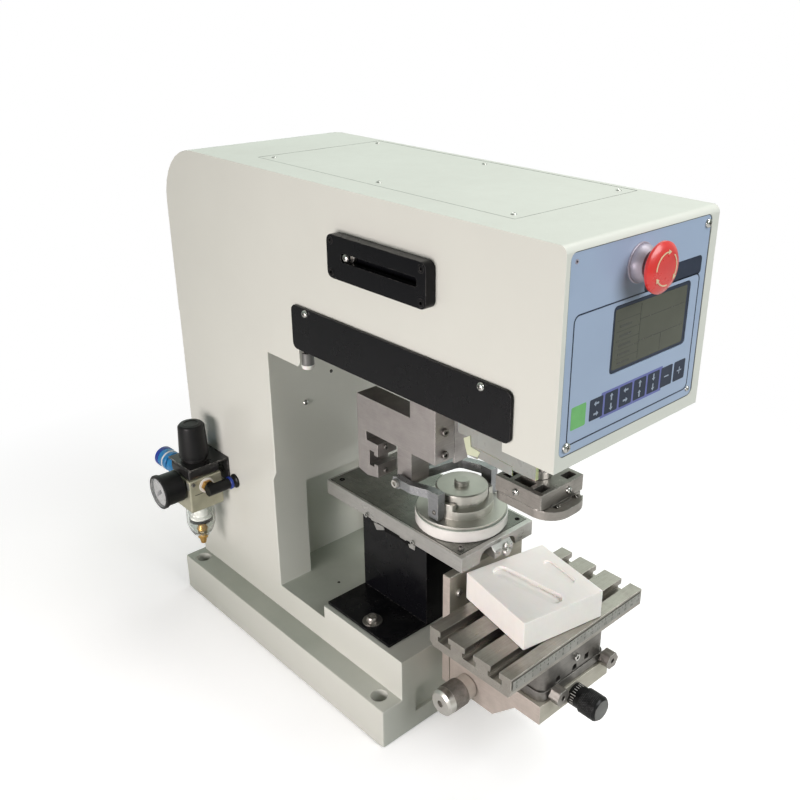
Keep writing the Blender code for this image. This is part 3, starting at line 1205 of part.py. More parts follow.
def table_profile():
    """Side view of the slotted plate: end rails, then mouths and tees at an even pitch."""
    low = TABLE_TOP - TABLE_THICKNESS
    lip = TABLE_TOP - TABLE_SLOT_LIP
    floor = lip - TABLE_TEE_HEIGHT
    spread = (TABLE_TEE_WIDTH - TABLE_SLOT_MOUTH) / 2
    first = TABLE_FRONT + TABLE_END_RAIL
    last = TABLE_REAR - TABLE_END_RAIL - TABLE_SLOT_MOUTH
    pitch = (last - first) / (TABLE_SLOT_COUNT - 1)
    points = [(TABLE_FRONT, low), (TABLE_FRONT, TABLE_TOP)]
    for i in range(TABLE_SLOT_COUNT):
        a = first + i * pitch
        b = a + TABLE_SLOT_MOUTH
        points += [(a, TABLE_TOP), (a, lip), (a - spread, lip), (a - spread, floor),
                   (b + spread, floor), (b + spread, lip), (b, lip), (b, TABLE_TOP)]
    keel = (TABLE_FRONT + TABLE_KEEL_INSET, TABLE_REAR - TABLE_KEEL_INSET)
    points += [(TABLE_REAR, TABLE_TOP), (TABLE_REAR, low), (keel[1], low),
               (keel[1], low - TABLE_KEEL_HEIGHT), (keel[0], low - TABLE_KEEL_HEIGHT),
               (keel[0], low)]
    return points


def build_table():
    joint = (0, (TABLE_FRONT + TABLE_REAR) / 2, TABLE_TOP)
    prism("slotted_table", [table_profile()], "X", -TABLE_HALF_WIDTH, TABLE_HALF_WIDTH,
          ground_steel(), origin=joint)
    top = TABLE_TOP - SCALE_TOP_INSET
    block("scale_strip",
          (-TABLE_HALF_WIDTH + SCALE_END_INSET, TABLE_HALF_WIDTH - SCALE_END_INSET),
          (TABLE_FRONT - GAP - SCALE_THICKNESS, TABLE_FRONT - GAP), (top - SCALE_HEIGHT, top),
          material("scale_strip", (0.55, 0.55, 0.53), 0.4, 0.6), origin=joint)

    half = JIG_SIDE / 2
    low = TABLE_TOP + GAP
    jig = prism("jig_block", [rectangle((-half, half), (-half, half), EDGE)], "Z", low,
                low + JIG_HEIGHT, material("white_acetal", (0.88, 0.87, 0.84), 0.45))
    turn = Matrix.Rotation(math.radians(JIG_TURN), 4, "Z")
    place = Matrix.Translation((JIG_X, JIG_Y, 0)) @ turn
    top = low + JIG_HEIGHT
    cuts = []
    for name, x, length, width, depth, angle in (
            ("jig_seat", JIG_SEAT_X, JIG_SEAT_LENGTH, JIG_SEAT_WIDTH, JIG_SEAT_DEPTH,
             JIG_SEAT_TURN),
            ("jig_groove", JIG_GROOVE_X, JIG_GROOVE_LENGTH, JIG_GROOVE_WIDTH,
             JIG_GROOVE_DEPTH, 0.0)):
        slot = prism(name, [rectangle((-width / 2, width / 2), (-length / 2, length / 2),
                                      width * 0.45)],
                     "Z", top - depth, top + OVERRUN, cutter=True)
        shift = Matrix.Translation((x, 0, 0)) @ Matrix.Rotation(math.radians(angle), 4, "Z")
        slot.data.transform(place @ shift)
        cuts.append(slot)
    jig.data.transform(Matrix.Translation(-Vector(joint)) @ place)
    jig.location = joint
    cut(jig, *cuts)


def build_stage_knobs():
    radius = LIFT_KNOB_RADIUS
    length = LIFT_KNOB_LENGTH
    collar = LIFT_KNOB_COLLAR
    groove = LIFT_KNOB_GROOVE
    sleeve = LIFT_KNOB_SLEEVE_RADIUS
    joint = (-KNEE_HALF_WIDTH - GAP, LIFT_KNOB_Y, LIFT_KNOB_Z)
    turned("lift_knob",
           [(0, length - LIFT_KNOB_SOCKET_DEPTH), (LIFT_KNOB_SOCKET, length - LIFT_KNOB_SOCKET_DEPTH),
            (LIFT_KNOB_SOCKET, length), (radius * 0.80, length),
            (radius - groove, length - groove * 2), (radius, length - groove * 3),
            (radius, collar + groove), (radius - groove, collar), (sleeve, collar),
            (sleeve, groove), (sleeve - groove, 0), (0, 0)],
           joint, "-X", SIDES, bright_steel(), origin=joint)

    joint = (CROSS_KNOB_X, KNEE_FRONT - GAP, CROSS_KNOB_Z)
    radius = CROSS_KNOB_RADIUS
    sleeve = CROSS_KNOB_SLEEVE
    length = CROSS_KNOB_LENGTH
    turned("cross_knob",
           [(0, length), (radius * 0.85, length), (radius, length - EDGE * 2),
            (radius, sleeve + EDGE * 2), (CROSS_KNOB_SLEEVE_RADIUS, sleeve),
            (CROSS_KNOB_SLEEVE_RADIUS, 0), (0, 0)],
           joint, "-Y", SIDES, black_plastic(), origin=joint)

    steps = LOCK_KNOB_LOBES * 6
    seat = SLIDE_FRONT - GAP
    face = KNEE_FRONT - RUNNING_GAP
    for name, x in zip(("lock_knob_left", "lock_knob_right"), LOCK_KNOB_X):
        joint = (x, seat, LOCK_KNOB_Z)
        lobes = []
        for i in range(steps):
            angle = math.tau * i / steps
            reach = LOCK_KNOB_RADIUS * (1 - LOCK_KNOB_DEPTH_SHARE
                                        + LOCK_KNOB_DEPTH_SHARE * math.cos(LOCK_KNOB_LOBES * angle))
            lobes.append((x + reach * math.cos(angle), LOCK_KNOB_Z + reach * math.sin(angle)))
        knob = prism(name, [lobes], "Y", face - LOCK_KNOB_LENGTH, face, bright_steel(),
                     origin=joint, edge=EDGE)
        shank = rod("lock_shank", (x, seat, LOCK_KNOB_Z), "-Y", LOCK_SCREW_RADIUS,
                    seat - face + EDGE, SIDES_SMALL, cutter=True)
        socket = rod("lock_socket", (x, face - LOCK_KNOB_LENGTH - OVERRUN, LOCK_KNOB_Z), "Y",
                     LOCK_KNOB_SOCKET, LOCK_KNOB_LENGTH / 2 + OVERRUN, 6, cutter=True)
        fuse(knob, shank)
        cut(knob, socket)


# Filter regulator with gauge, bowl and fittings

def build_regulator():
    wall = -BED_WIDTH / 2 - GAP
    x = (REG_X - REG_HALF_SIDE, REG_X + REG_HALF_SIDE)
    y = (REG_Y - REG_HALF_SIDE, REG_Y + REG_HALF_SIDE)
    alloy = material("regulator_alloy", (0.36, 0.34, 0.24), 0.45, 0.5)
    block("regulator_body", x, y, (REG_BODY_BOTTOM, REG_BODY_TOP), alloy, edge=EDGE * 2)
    low = REG_BODY_TOP + GAP
    shoulder = low + BONNET_HEIGHT
    bonnet = block("bonnet", (REG_X - BONNET_HALF_SIDE, REG_X + BONNET_HALF_SIDE),
                   (REG_Y - BONNET_HALF_SIDE, REG_Y + BONNET_HALF_SIDE), (low, shoulder),
                   black_plastic(), edge=EDGE * 3)
    neck = rod("bonnet_neck", (REG_X, REG_Y, shoulder - EDGE), "Z", BONNET_NECK_RADIUS,
               BONNET_NECK_HEIGHT + EDGE, SIDES, cutter=True)
    fuse(bonnet, neck)

    ledge = shoulder + GAP
    top = ledge + BRACKET_THICKNESS
    bracket = prism("regulator_bracket",
                    [[(BRACKET_OUTER_X, ledge), (BRACKET_OUTER_X, top), (wall, top),
                      (wall, top - BRACKET_DROP), (wall - BRACKET_THICKNESS, top - BRACKET_DROP),
                      (wall - BRACKET_THICKNESS, ledge)]],
                    "Y", BRACKET_FRONT, BRACKET_REAR, black_paint())
    hole = rod("bracket_hole", (REG_X, REG_Y, ledge - OVERRUN), "Z", BONNET_NECK_RADIUS + GAP,
               BRACKET_THICKNESS + 2 * OVERRUN, SIDES, cutter=True)
    cut(bracket, hole)

    joint = (REG_X, REG_Y, shoulder + BONNET_NECK_HEIGHT + GAP)
    height = REG_KNOB_HEIGHT
    taper = REG_KNOB_TOP_RADIUS
    turned("regulator_knob",
           [(0, height - REG_KNOB_DISH), (taper * 0.45, height - REG_KNOB_DISH),
            (taper * 0.55, height), (taper * 0.85, height - REG_KNOB_DISH / 2),
            (taper, height - REG_KNOB_DISH * 3), (REG_KNOB_RADIUS, REG_KNOB_DISH * 5),
            (REG_KNOB_RADIUS, 0), (0, 0)],
           joint, "Z", SIDES, black_plastic(), origin=joint)

    build_gauge(x[0])
    build_bowl()
    build_fittings(wall, y)


def build_gauge(body_face):
    seat = (body_face - GAP, REG_Y, REG_PORT_Z)
    length = GAUGE_STEM_LENGTH + GAUGE_LENGTH
    radius = GAUGE_RADIUS
    dial = length - GAUGE_DISH
    turned("gauge_case",
           [(0, dial), (radius - GAUGE_RIM, dial), (radius - GAUGE_RIM, length),
            (radius, length - FINE_EDGE), (radius, length - GAUGE_DISH),
            (radius - FINE_EDGE * 3, length - GAUGE_DISH),
            (radius - FINE_EDGE * 3, GAUGE_STEM_LENGTH), (GAUGE_STEM_RADIUS, GAUGE_STEM_LENGTH),
            (GAUGE_STEM_RADIUS, 0), (0, 0)],
           seat, "-X", SIDES_LARGE, black_plastic())
    glass = material("clear_plastic", (0.80, 0.82, 0.80), 0.1, 0.0, 0.35)
    rod("gauge_lens", (seat[0] - length + GAUGE_LENS_THICKNESS, REG_Y, REG_PORT_Z), "-X",
        radius - GAUGE_RIM - GAP, GAUGE_LENS_THICKNESS, SIDES_LARGE, glass)
    face = seat[0] - dial - GAP
    joint = (face, REG_Y, REG_PORT_Z)
    half = POINTER_WIDTH / 2
    pointer = prism("gauge_pointer",
                    [rounded([(REG_Y - POINTER_HUB_RADIUS, REG_PORT_Z - POINTER_HUB_RADIUS,
                               POINTER_HUB_RADIUS * 0.9),
                              (REG_Y + POINTER_HUB_RADIUS, REG_PORT_Z - POINTER_HUB_RADIUS,
                               POINTER_HUB_RADIUS * 0.9),
                              (REG_Y + POINTER_HUB_RADIUS, REG_PORT_Z + POINTER_HUB_RADIUS, 0),
                              (REG_Y + half, REG_PORT_Z + POINTER_LENGTH, 0),
                              (REG_Y - half, REG_PORT_Z + POINTER_LENGTH, 0),
                              (REG_Y - POINTER_HUB_RADIUS, REG_PORT_Z + POINTER_HUB_RADIUS, 0)])],
                    "X", face - POINTER_THICKNESS, face,
                    material("pointer_white", (0.75, 0.75, 0.75), 0.5), origin=joint)
    pointer.data.transform(Matrix.Rotation(math.radians(-135), 4, "X"))


def build_bowl():
    top = REG_BODY_BOTTOM - GAP
    glass = material("clear_plastic", (0.80, 0.82, 0.80), 0.1, 0.0, 0.35)
    inner = BOWL_RADIUS - BOWL_WALL
    mouth = DRAIN_RADIUS + GAP
    turned("filter_bowl",
           [(inner, 0), (BOWL_RADIUS, 0), (BOWL_RADIUS, -BOWL_HEIGHT * 0.62),
            (BOWL_RADIUS - BOWL_TAPER / 2, -BOWL_HEIGHT * 0.85),
            (BOWL_RADIUS - BOWL_TAPER, -BOWL_HEIGHT), (mouth, -BOWL_HEIGHT),
            (mouth, -BOWL_HEIGHT + BOWL_WALL), (inner - BOWL_TAPER, -BOWL_HEIGHT + BOWL_WALL),
            (inner - BOWL_TAPER / 2, -BOWL_HEIGHT * 0.83), (inner, -BOWL_HEIGHT * 0.62)],
           (REG_X, REG_Y, top), "Z", SIDES, glass, closed=True)
    turned("filter_element",
           [(0, 0), (FILTER_RADIUS, 0), (FILTER_RADIUS, -FILTER_HEIGHT),
            (BAFFLE_RADIUS, -FILTER_HEIGHT - BAFFLE_HEIGHT),
            (BAFFLE_RADIUS, -FILTER_HEIGHT - 2 * BAFFLE_HEIGHT),
            (0, -FILTER_HEIGHT - 2 * BAFFLE_HEIGHT)],
           (REG_X, REG_Y, top), "Z", SIDES_SMALL,
           material("filter_white", (0.82, 0.82, 0.80), 0.6))
    joint = (REG_X, REG_Y, top - BOWL_HEIGHT - GAP)
    collar = BOWL_WALL * 2
    turned("drain_cock",
           [(0, collar), (DRAIN_RADIUS, collar), (DRAIN_RADIUS, 0), (DRAIN_HEX_RADIUS, 0),
            (DRAIN_HEX_RADIUS, -DRAIN_LENGTH * 0.4), (DRAIN_RADIUS, -DRAIN_LENGTH * 0.5),
            (DRAIN_RADIUS * 0.7, -DRAIN_LENGTH), (0, -DRAIN_LENGTH)],
           joint, "Z", SIDES_SMALL, brass(), origin=joint)


def build_fittings(wall, y):
    rear = y[1] + GAP
    sleeve_start = COUPLER_NIPPLE_LENGTH + COUPLER_LENGTH - COUPLER_SLEEVE_LENGTH
    length = COUPLER_NIPPLE_LENGTH + COUPLER_LENGTH
    core = COUPLER_RADIUS - COUPLER_SLEEVE_WALL
    stop = sleeve_start - COUPLER_TRAVEL - RUNNING_GAP
    turned("coupler_body",
           [(0, length - COUPLER_BORE_DEPTH), (COUPLER_BORE_RADIUS, length - COUPLER_BORE_DEPTH),
            (COUPLER_BORE_RADIUS, length), (core - EDGE, length), (core - GAP, length - EDGE),
            (core - GAP, stop), (COUPLER_RADIUS, stop), (COUPLER_RADIUS, COUPLER_NIPPLE_LENGTH),
            (COUPLER_NIPPLE_RADIUS, COUPLER_NIPPLE_LENGTH), (COUPLER_NIPPLE_RADIUS, 0), (0, 0)],
           (REG_X, rear, REG_PORT_Z), "Y", SIDES,
           material("coupler_blue", (0.02, 0.22, 0.55), 0.35))
    joint = (REG_X, rear + sleeve_start, REG_PORT_Z)
    sleeve = COUPLER_SLEEVE_LENGTH - COUPLER_TRAVEL
    turned("coupler_sleeve",
           [(core + GAP, sleeve), (COUPLER_RADIUS - EDGE, sleeve),
            (COUPLER_RADIUS, sleeve - EDGE), (COUPLER_RADIUS, EDGE),
            (COUPLER_RADIUS - EDGE, 0), (core + GAP, 0)],
           joint, "Y", SIDES, material("sleeve_blue", (0.02, 0.08, 0.42), 0.35),
           origin=joint, closed=True)

    front = y[0] - GAP
    rod("outlet_nipple", (REG_X, front, REG_PORT_Z), "-Y", NIPPLE_RADIUS, NIPPLE_LENGTH, 6,
        brass())
    elbow_y = front - NIPPLE_LENGTH - GAP - ELBOW_RADIUS
    reach = wall - REG_X + ELBOW_RADIUS
    elbow = turned("outlet_elbow",
                   [(0, reach), (ELBOW_RADIUS, reach), (ELBOW_RADIUS, GROMMET_THICKNESS),
                    (GROMMET_RADIUS * 0.75, GROMMET_THICKNESS),
                    (GROMMET_RADIUS, GROMMET_THICKNESS / 2), (GROMMET_RADIUS, 0), (0, 0)],
                   (wall, elbow_y, REG_PORT_Z), "-X", SIDES_SMALL, black_plastic())
    stub = rod("elbow_stub", (REG_X, elbow_y, REG_PORT_Z), "Y", ELBOW_RADIUS,
               ELBOW_RADIUS, SIDES_SMALL, cutter=True)
    fuse(elbow, stub)


def main():
    global PARTS, CUTTERS
    clear_scene()
    PARTS = new_collection(NAME)
    CUTTERS = new_collection(NAME + "_cutters")
    build_base()
    build_head()
    build_estop(build_panel())
    build_side_plates()
    build_rails()
    build_carriage()
    build_pad_head()
    build_pedestal()
    build_tray()
    build_clamp()
    build_cup()
    build_fork()
    build_lift()
    build_slides()
    build_table()
    build_stage_knobs()
    build_regulator()


main()
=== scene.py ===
"""Looks of the pad printing machine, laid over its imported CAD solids.

Every solid keeps its own place and gets a worked finish. Screws, graduations, knurls and the
front panel's print are added as pieces that ride on the solids' bodies. Lengths are in metres.
"""

import math
from functools import cache

import bmesh
import bpy
from bpy.props import FloatProperty, FloatVectorProperty, IntProperty, PointerProperty
from bpy.types import Operator, Panel, PropertyGroup
from mathutils import Matrix, Vector


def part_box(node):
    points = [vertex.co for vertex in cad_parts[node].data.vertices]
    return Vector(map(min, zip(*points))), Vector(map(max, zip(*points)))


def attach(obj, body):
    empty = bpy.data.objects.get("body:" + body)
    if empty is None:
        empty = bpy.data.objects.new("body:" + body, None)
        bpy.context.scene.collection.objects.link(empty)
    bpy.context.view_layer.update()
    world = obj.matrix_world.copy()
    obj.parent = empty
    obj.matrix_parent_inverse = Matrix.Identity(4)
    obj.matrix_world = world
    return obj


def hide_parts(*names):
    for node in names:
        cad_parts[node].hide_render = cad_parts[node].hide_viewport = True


bl_info = {
    "name": "Pad printing machine finishes",
    "version": (1, 0, 0),
    "blender": (4, 5, 0),
    "location": "3D View > Sidebar > Pad printer",
    "description": "Finishes, small hardware and studio of a bench pad printing machine",
    "category": "Object",
}

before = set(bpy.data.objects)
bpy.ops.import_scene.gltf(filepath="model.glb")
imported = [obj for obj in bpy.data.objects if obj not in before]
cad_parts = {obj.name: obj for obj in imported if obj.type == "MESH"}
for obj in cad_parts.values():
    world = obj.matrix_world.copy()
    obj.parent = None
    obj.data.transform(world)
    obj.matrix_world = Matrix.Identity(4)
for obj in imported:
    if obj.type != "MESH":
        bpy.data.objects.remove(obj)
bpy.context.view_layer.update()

MM = 0.001
MERGE = 0.01 * MM
UP = Vector((0, 0, 1))
FORWARD = Vector((0, -1, 0))
LEFT = Vector((-1, 0, 0))
BACK = Vector((0, 1, 0))
RIGHT = Vector((1, 0, 0))


# ---------------------------------------------------------- objects and meshes

def linked(name, data):
    """A new object in the scene for a mesh, a text, a lamp or a camera."""
    made = bpy.data.objects.new(name, data)
    bpy.context.scene.collection.objects.link(made)
    return made


def mesh_of(name, bm):
    mesh = bpy.data.meshes.new(name)
    bm.to_mesh(mesh)
    bm.free()
    return mesh


def plain_mesh(name, holder):
    """The mesh that an object's modifiers or text give. The object goes."""
    graph = bpy.context.evaluated_depsgraph_get()
    mesh = bpy.data.meshes.new_from_object(holder.evaluated_get(graph))
    bpy.data.objects.remove(holder)
    mesh.name = name
    return mesh


def middle_of(node):
    low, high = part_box(node)
    return (low + high) / 2


# ------------------------------------------------------------------ node trees

def add(tree, kind, inputs=None, **settings):
    """A new node with its settings and inputs. An input is a value or another node's socket."""
    node = tree.nodes.new(kind)
    for key, value in settings.items():
        setattr(node, key, value)
    for key, value in (inputs or {}).items():
        if isinstance(value, bpy.types.NodeSocket):
            tree.links.new(value, node.inputs[key])
        else:
            node.inputs[key].default_value = value
    return node


def maths(tree, operation, *values, clamp=False):
    return add(tree, "ShaderNodeMath", dict(enumerate(values)), operation=operation,
               use_clamp=clamp).outputs[0]


def vector_maths(tree, operation, *values):
    node = add(tree, "ShaderNodeVectorMath", dict(enumerate(values)), operation=operation)
    return node.outputs["Value" if operation == "DOT_PRODUCT" else "Vector"]


def blend_colour(tree, share, first, second):
    values = {0: share, 6: first, 7: second}
    return add(tree, "ShaderNodeMix", values, data_type="RGBA").outputs[2]


def ramp(tree, value, low, high, to_low=0.0, to_high=1.0):
    values = {"Value": value, "From Min": low, "From Max": high, "To Min": to_low,
              "To Max": to_high}
    return add(tree, "ShaderNodeMapRange", values).outputs["Result"]


def new_tree(name, kind, given, made):
    """A node group with named inputs, each (name, socket type, default), and outputs."""
    tree = bpy.data.node_groups.new(name, kind)
    for label, socket_type, default in given:
        socket = tree.interface.new_socket(label, in_out="INPUT", socket_type=socket_type)
        if default is not None:
            socket.default_value = default
    for label, socket_type in made:
        tree.interface.new_socket(label, in_out="OUTPUT", socket_type=socket_type)
    return tree, tree.nodes.new("NodeGroupInput").outputs, tree.nodes.new("NodeGroupOutput").inputs


def effect_group(name, *given, made="Mask"):
    """A shader group that turns a place in the object into one number."""
    return new_tree(name, "ShaderNodeTree", [("Vector", "NodeSocketVector", None), *given],
                    [(made, "NodeSocketFloat")])


def shape_group(name, *given):
    """A geometry group from one geometry and further inputs to a new geometry."""
    return new_tree(name, "GeometryNodeTree",
                    [("Geometry", "NodeSocketGeometry", None), *given],
                    [("Geometry", "NodeSocketGeometry")])


def noise(tree, vector, scale, detail, roughness):
    values = {"Vector": vector, "Scale": scale, "Detail": detail, "Roughness": roughness}
    return add(tree, "ShaderNodeTexNoise", values).outputs[0]


def along(tree, vector, axis):
    return add(tree, "ShaderNodeSeparateXYZ", {0: vector}).outputs[axis]


def facing(tree, kind="Normal"):
    return add(tree, "ShaderNodeNewGeometry").outputs[kind]


# ------------------------------------------------- shared effects of materials

DUST = (0.55, 0.53, 0.48, 1)
# How much dust, and the painted shade low on the castings, add to the roughness.
DUST_ROUGHENS, LOW_SHADE_ROUGHENS = 0.5, 0.2
SMOOTHEST = 0.02
PLASTIC_IOR = 1.45
PLASTIC_SHADOW = 0.15


@cache
def patches_group():
    """Broad soft patches, as in uneven paint, polish or stain."""
    tree, given, made = effect_group("Patches", ("Scale", "NodeSocketFloat", 20.0))
    cloud = noise(tree, given["Vector"], given["Scale"], 4.0, 0.6)
    tree.links.new(ramp(tree, cloud, 0.32, 0.68), made["Mask"])
    return tree


@cache
def grain_group():
    """Fine even grain, as in orange peel or a cast skin."""
    tree, given, made = effect_group("Grain", ("Scale", "NodeSocketFloat", 900.0),
                                     made="Height")
    tree.links.new(noise(tree, given["Vector"], given["Scale"], 2.0, 0.5), made["Height"])
    return tree


@cache
def tool_lines_group():
    """Long fine lines left by a cutter or a grinding wheel, drawn out along one direction."""
    tree, given, made = effect_group("Tool lines", ("Stretch", "NodeSocketVector", (1, 1, 1)))
    drawn = vector_maths(tree, "MULTIPLY", given["Vector"], given["Stretch"])
    tree.links.new(ramp(tree, noise(tree, drawn, 1.0, 3.0, 0.7), 0.30, 0.70), made["Mask"])
    return tree


@cache
def edge_wear_group():
    """Outer edges rubbed bare, broken up by noise."""
    tree, given, made = effect_group("Edge wear", ("Radius", "NodeSocketFloat", 0.0008))
    rounded = add(tree, "ShaderNodeBevel", {"Radius": given["Radius"]}, samples=4)
    close = vector_maths(tree, "DOT_PRODUCT", rounded.outputs[0], facing(tree))
    broken = ramp(tree, noise(tree, given["Vector"], 160.0, 4.0, 0.65), 0.42, 0.62)
    rubbed = maths(tree, "MULTIPLY", ramp(tree, close, 0.99, 0.86), broken)
    tree.links.new(rubbed, made["Mask"])
    return tree


@cache
def settled_dust_group():
    """Dust that lies on faces that look up, thicker in patches."""
    tree, given, made = effect_group("Settled dust", ("Scale", "NodeSocketFloat", 60.0))
    cloud = noise(tree, given["Vector"], given["Scale"], 5.0, 0.7)
    lying = maths(tree, "MULTIPLY", ramp(tree, along(tree, facing(tree), "Z"), 0.6, 1.0),
                  ramp(tree, cloud, 0.40, 0.75))
    tree.links.new(lying, made["Mask"])
    return tree


@cache
def base_grime_group():
    """Painted shade near the foot of the castings and on their low ledges, less so in front."""
    tree, given, made = effect_group("Base grime", ("Foot", "NodeSocketFloat", 0.11),
                                     ("Ledge", "NodeSocketFloat", 0.34))
    depth, level = along(tree, given["Vector"], "Y"), along(tree, given["Vector"], "Z")
    behind = ramp(tree, depth, 0.02, 0.24, 0.10, 0.55)
    foot = maths(tree, "MULTIPLY", ramp(tree, level, given["Foot"], 0.0), behind)
    rear = ramp(tree, depth, -0.07, 0.04, 0.40, 0.85)
    low = maths(tree, "MULTIPLY", ramp(tree, level, given["Ledge"], 0.30), rear)
    ledge = maths(tree, "MULTIPLY", ramp(tree, along(tree, facing(tree), "Z"), 0.7, 0.95), low)
    cloud = noise(tree, given["Vector"], 14.0, 4.0, 0.6)
    painted_shade = maths(tree, "MULTIPLY", maths(tree, "MAXIMUM", foot, ledge),
                 ramp(tree, cloud, 0.3, 0.7, 0.8, 1.0))
    tree.links.new(painted_shade, made["Mask"])
    return tree


def surface(name, colour, roughness, metallic=0.0, patches=(18.0, 0.12), grain=None, lines=None,
            wear=None, dust=0.0, grime=None, spread=0.06, rims=None, clear=False, sockets=None):
    """A finish. patches is (scale, how much darker), grain is (scale, height), lines is
    (stretch, how much darker, height), wear is (radius, bare colour, share), the low shade colour
    is painted shade near the foot and on low ledges, rims is the colour of the faces that don't
    look along X, spread is how far the roughness varies, and clear plastic casts a faint shadow."""
    material = bpy.data.materials.new(name)
    material.use_nodes = True
    tree = material.node_tree
    shader = tree.nodes["Principled BSDF"]
    for key, value in {"Metallic": metallic, **(sockets or {})}.items():
        shader.inputs[key].default_value = value
    place = add(tree, "ShaderNodeTexCoord").outputs["Object"]

    def effect(group, output, **values):
        return add(tree, "ShaderNodeGroup", {"Vector": place, **values},
                   node_tree=group).outputs[output]

    patch = effect(patches_group(), "Mask", Scale=patches[0])
    darker = [channel * (1 - patches[1]) for channel in colour]
    seen = blend_colour(tree, patch, (*colour, 1), (*darker, 1))
    rough = ramp(tree, patch, 0.0, 1.0, max(SMOOTHEST, roughness - spread), roughness + spread)
    # Faces that don't look along X take the rims colour; on the knee this is painted shade on its
    # front and top.
    if rims:
        sideways = maths(tree, "ABSOLUTE", along(tree, facing(tree, "True Normal"), "X"))
        seen = blend_colour(tree, ramp(tree, sideways, 0.4, 0.6), (*rims, 1), seen)
    height = None
    if grain:
        height = maths(tree, "MULTIPLY", effect(grain_group(), "Height", Scale=grain[0]), grain[1])
    if lines:
        mask = effect(tool_lines_group(), "Mask", Stretch=lines[0])
        dark = maths(tree, "MULTIPLY", mask, lines[1])
        seen = blend_colour(tree, dark, seen, (0, 0, 0, 1))
        rough = maths(tree, "MULTIPLY_ADD", mask, spread, rough)
        scored = maths(tree, "MULTIPLY", mask, lines[2])
        height = maths(tree, "ADD", height, scored) if height else scored
    if dust:
        mask = maths(tree, "MULTIPLY", effect(settled_dust_group(), "Mask"), dust)
        seen = blend_colour(tree, mask, seen, DUST)
        rough = maths(tree, "MULTIPLY_ADD", mask, DUST_ROUGHENS, rough, clamp=True)
    # Painted shade on the low faces and ledges of the castings.
    if grime:
        mask = effect(base_grime_group(), "Mask")
        seen = blend_colour(tree, mask, seen, (*grime, 1))
        rough = maths(tree, "MULTIPLY_ADD", mask, LOW_SHADE_ROUGHENS, rough, clamp=True)
    if wear:
        rub = effect(edge_wear_group(), "Mask", Radius=wear[0])
        rub = maths(tree, "MULTIPLY", rub, wear[2])
        seen = blend_colour(tree, rub, seen, (*wear[1], 1))
    tree.links.new(seen, shader.inputs["Base Color"])
    tree.links.new(rough, shader.inputs["Roughness"])
    if height:
        bump = add(tree, "ShaderNodeBump", {"Height": height, "Strength": 1.0, "Distance": MM})
        tree.links.new(bump.outputs[0], shader.inputs["Normal"])
    if clear:
        shader.inputs["Transmission Weight"].default_value = 1.0
        shader.inputs["IOR"].default_value = PLASTIC_IOR
        shadow = add(tree, "ShaderNodeLightPath").outputs["Is Shadow Ray"]
        cast = maths(tree, "MULTIPLY_ADD", shadow, PLASTIC_SHADOW - 1.0, 1.0)
        tree.links.new(cast, shader.inputs["Alpha"])
    return material


# -------------------------------------------------------------------- finishes

ENAMEL = dict(colour="printer_paint.cream", roughness="printer_paint.gloss",
              patches=(5.0, 0.05), grain=(420.0, 0.03), wear=(0.0010, (0.80, 0.80, 0.74), 0.5),
              dust=0.10, spread=0.05, sockets={"Coat Weight": 0.25, "Coat Roughness": 0.12})
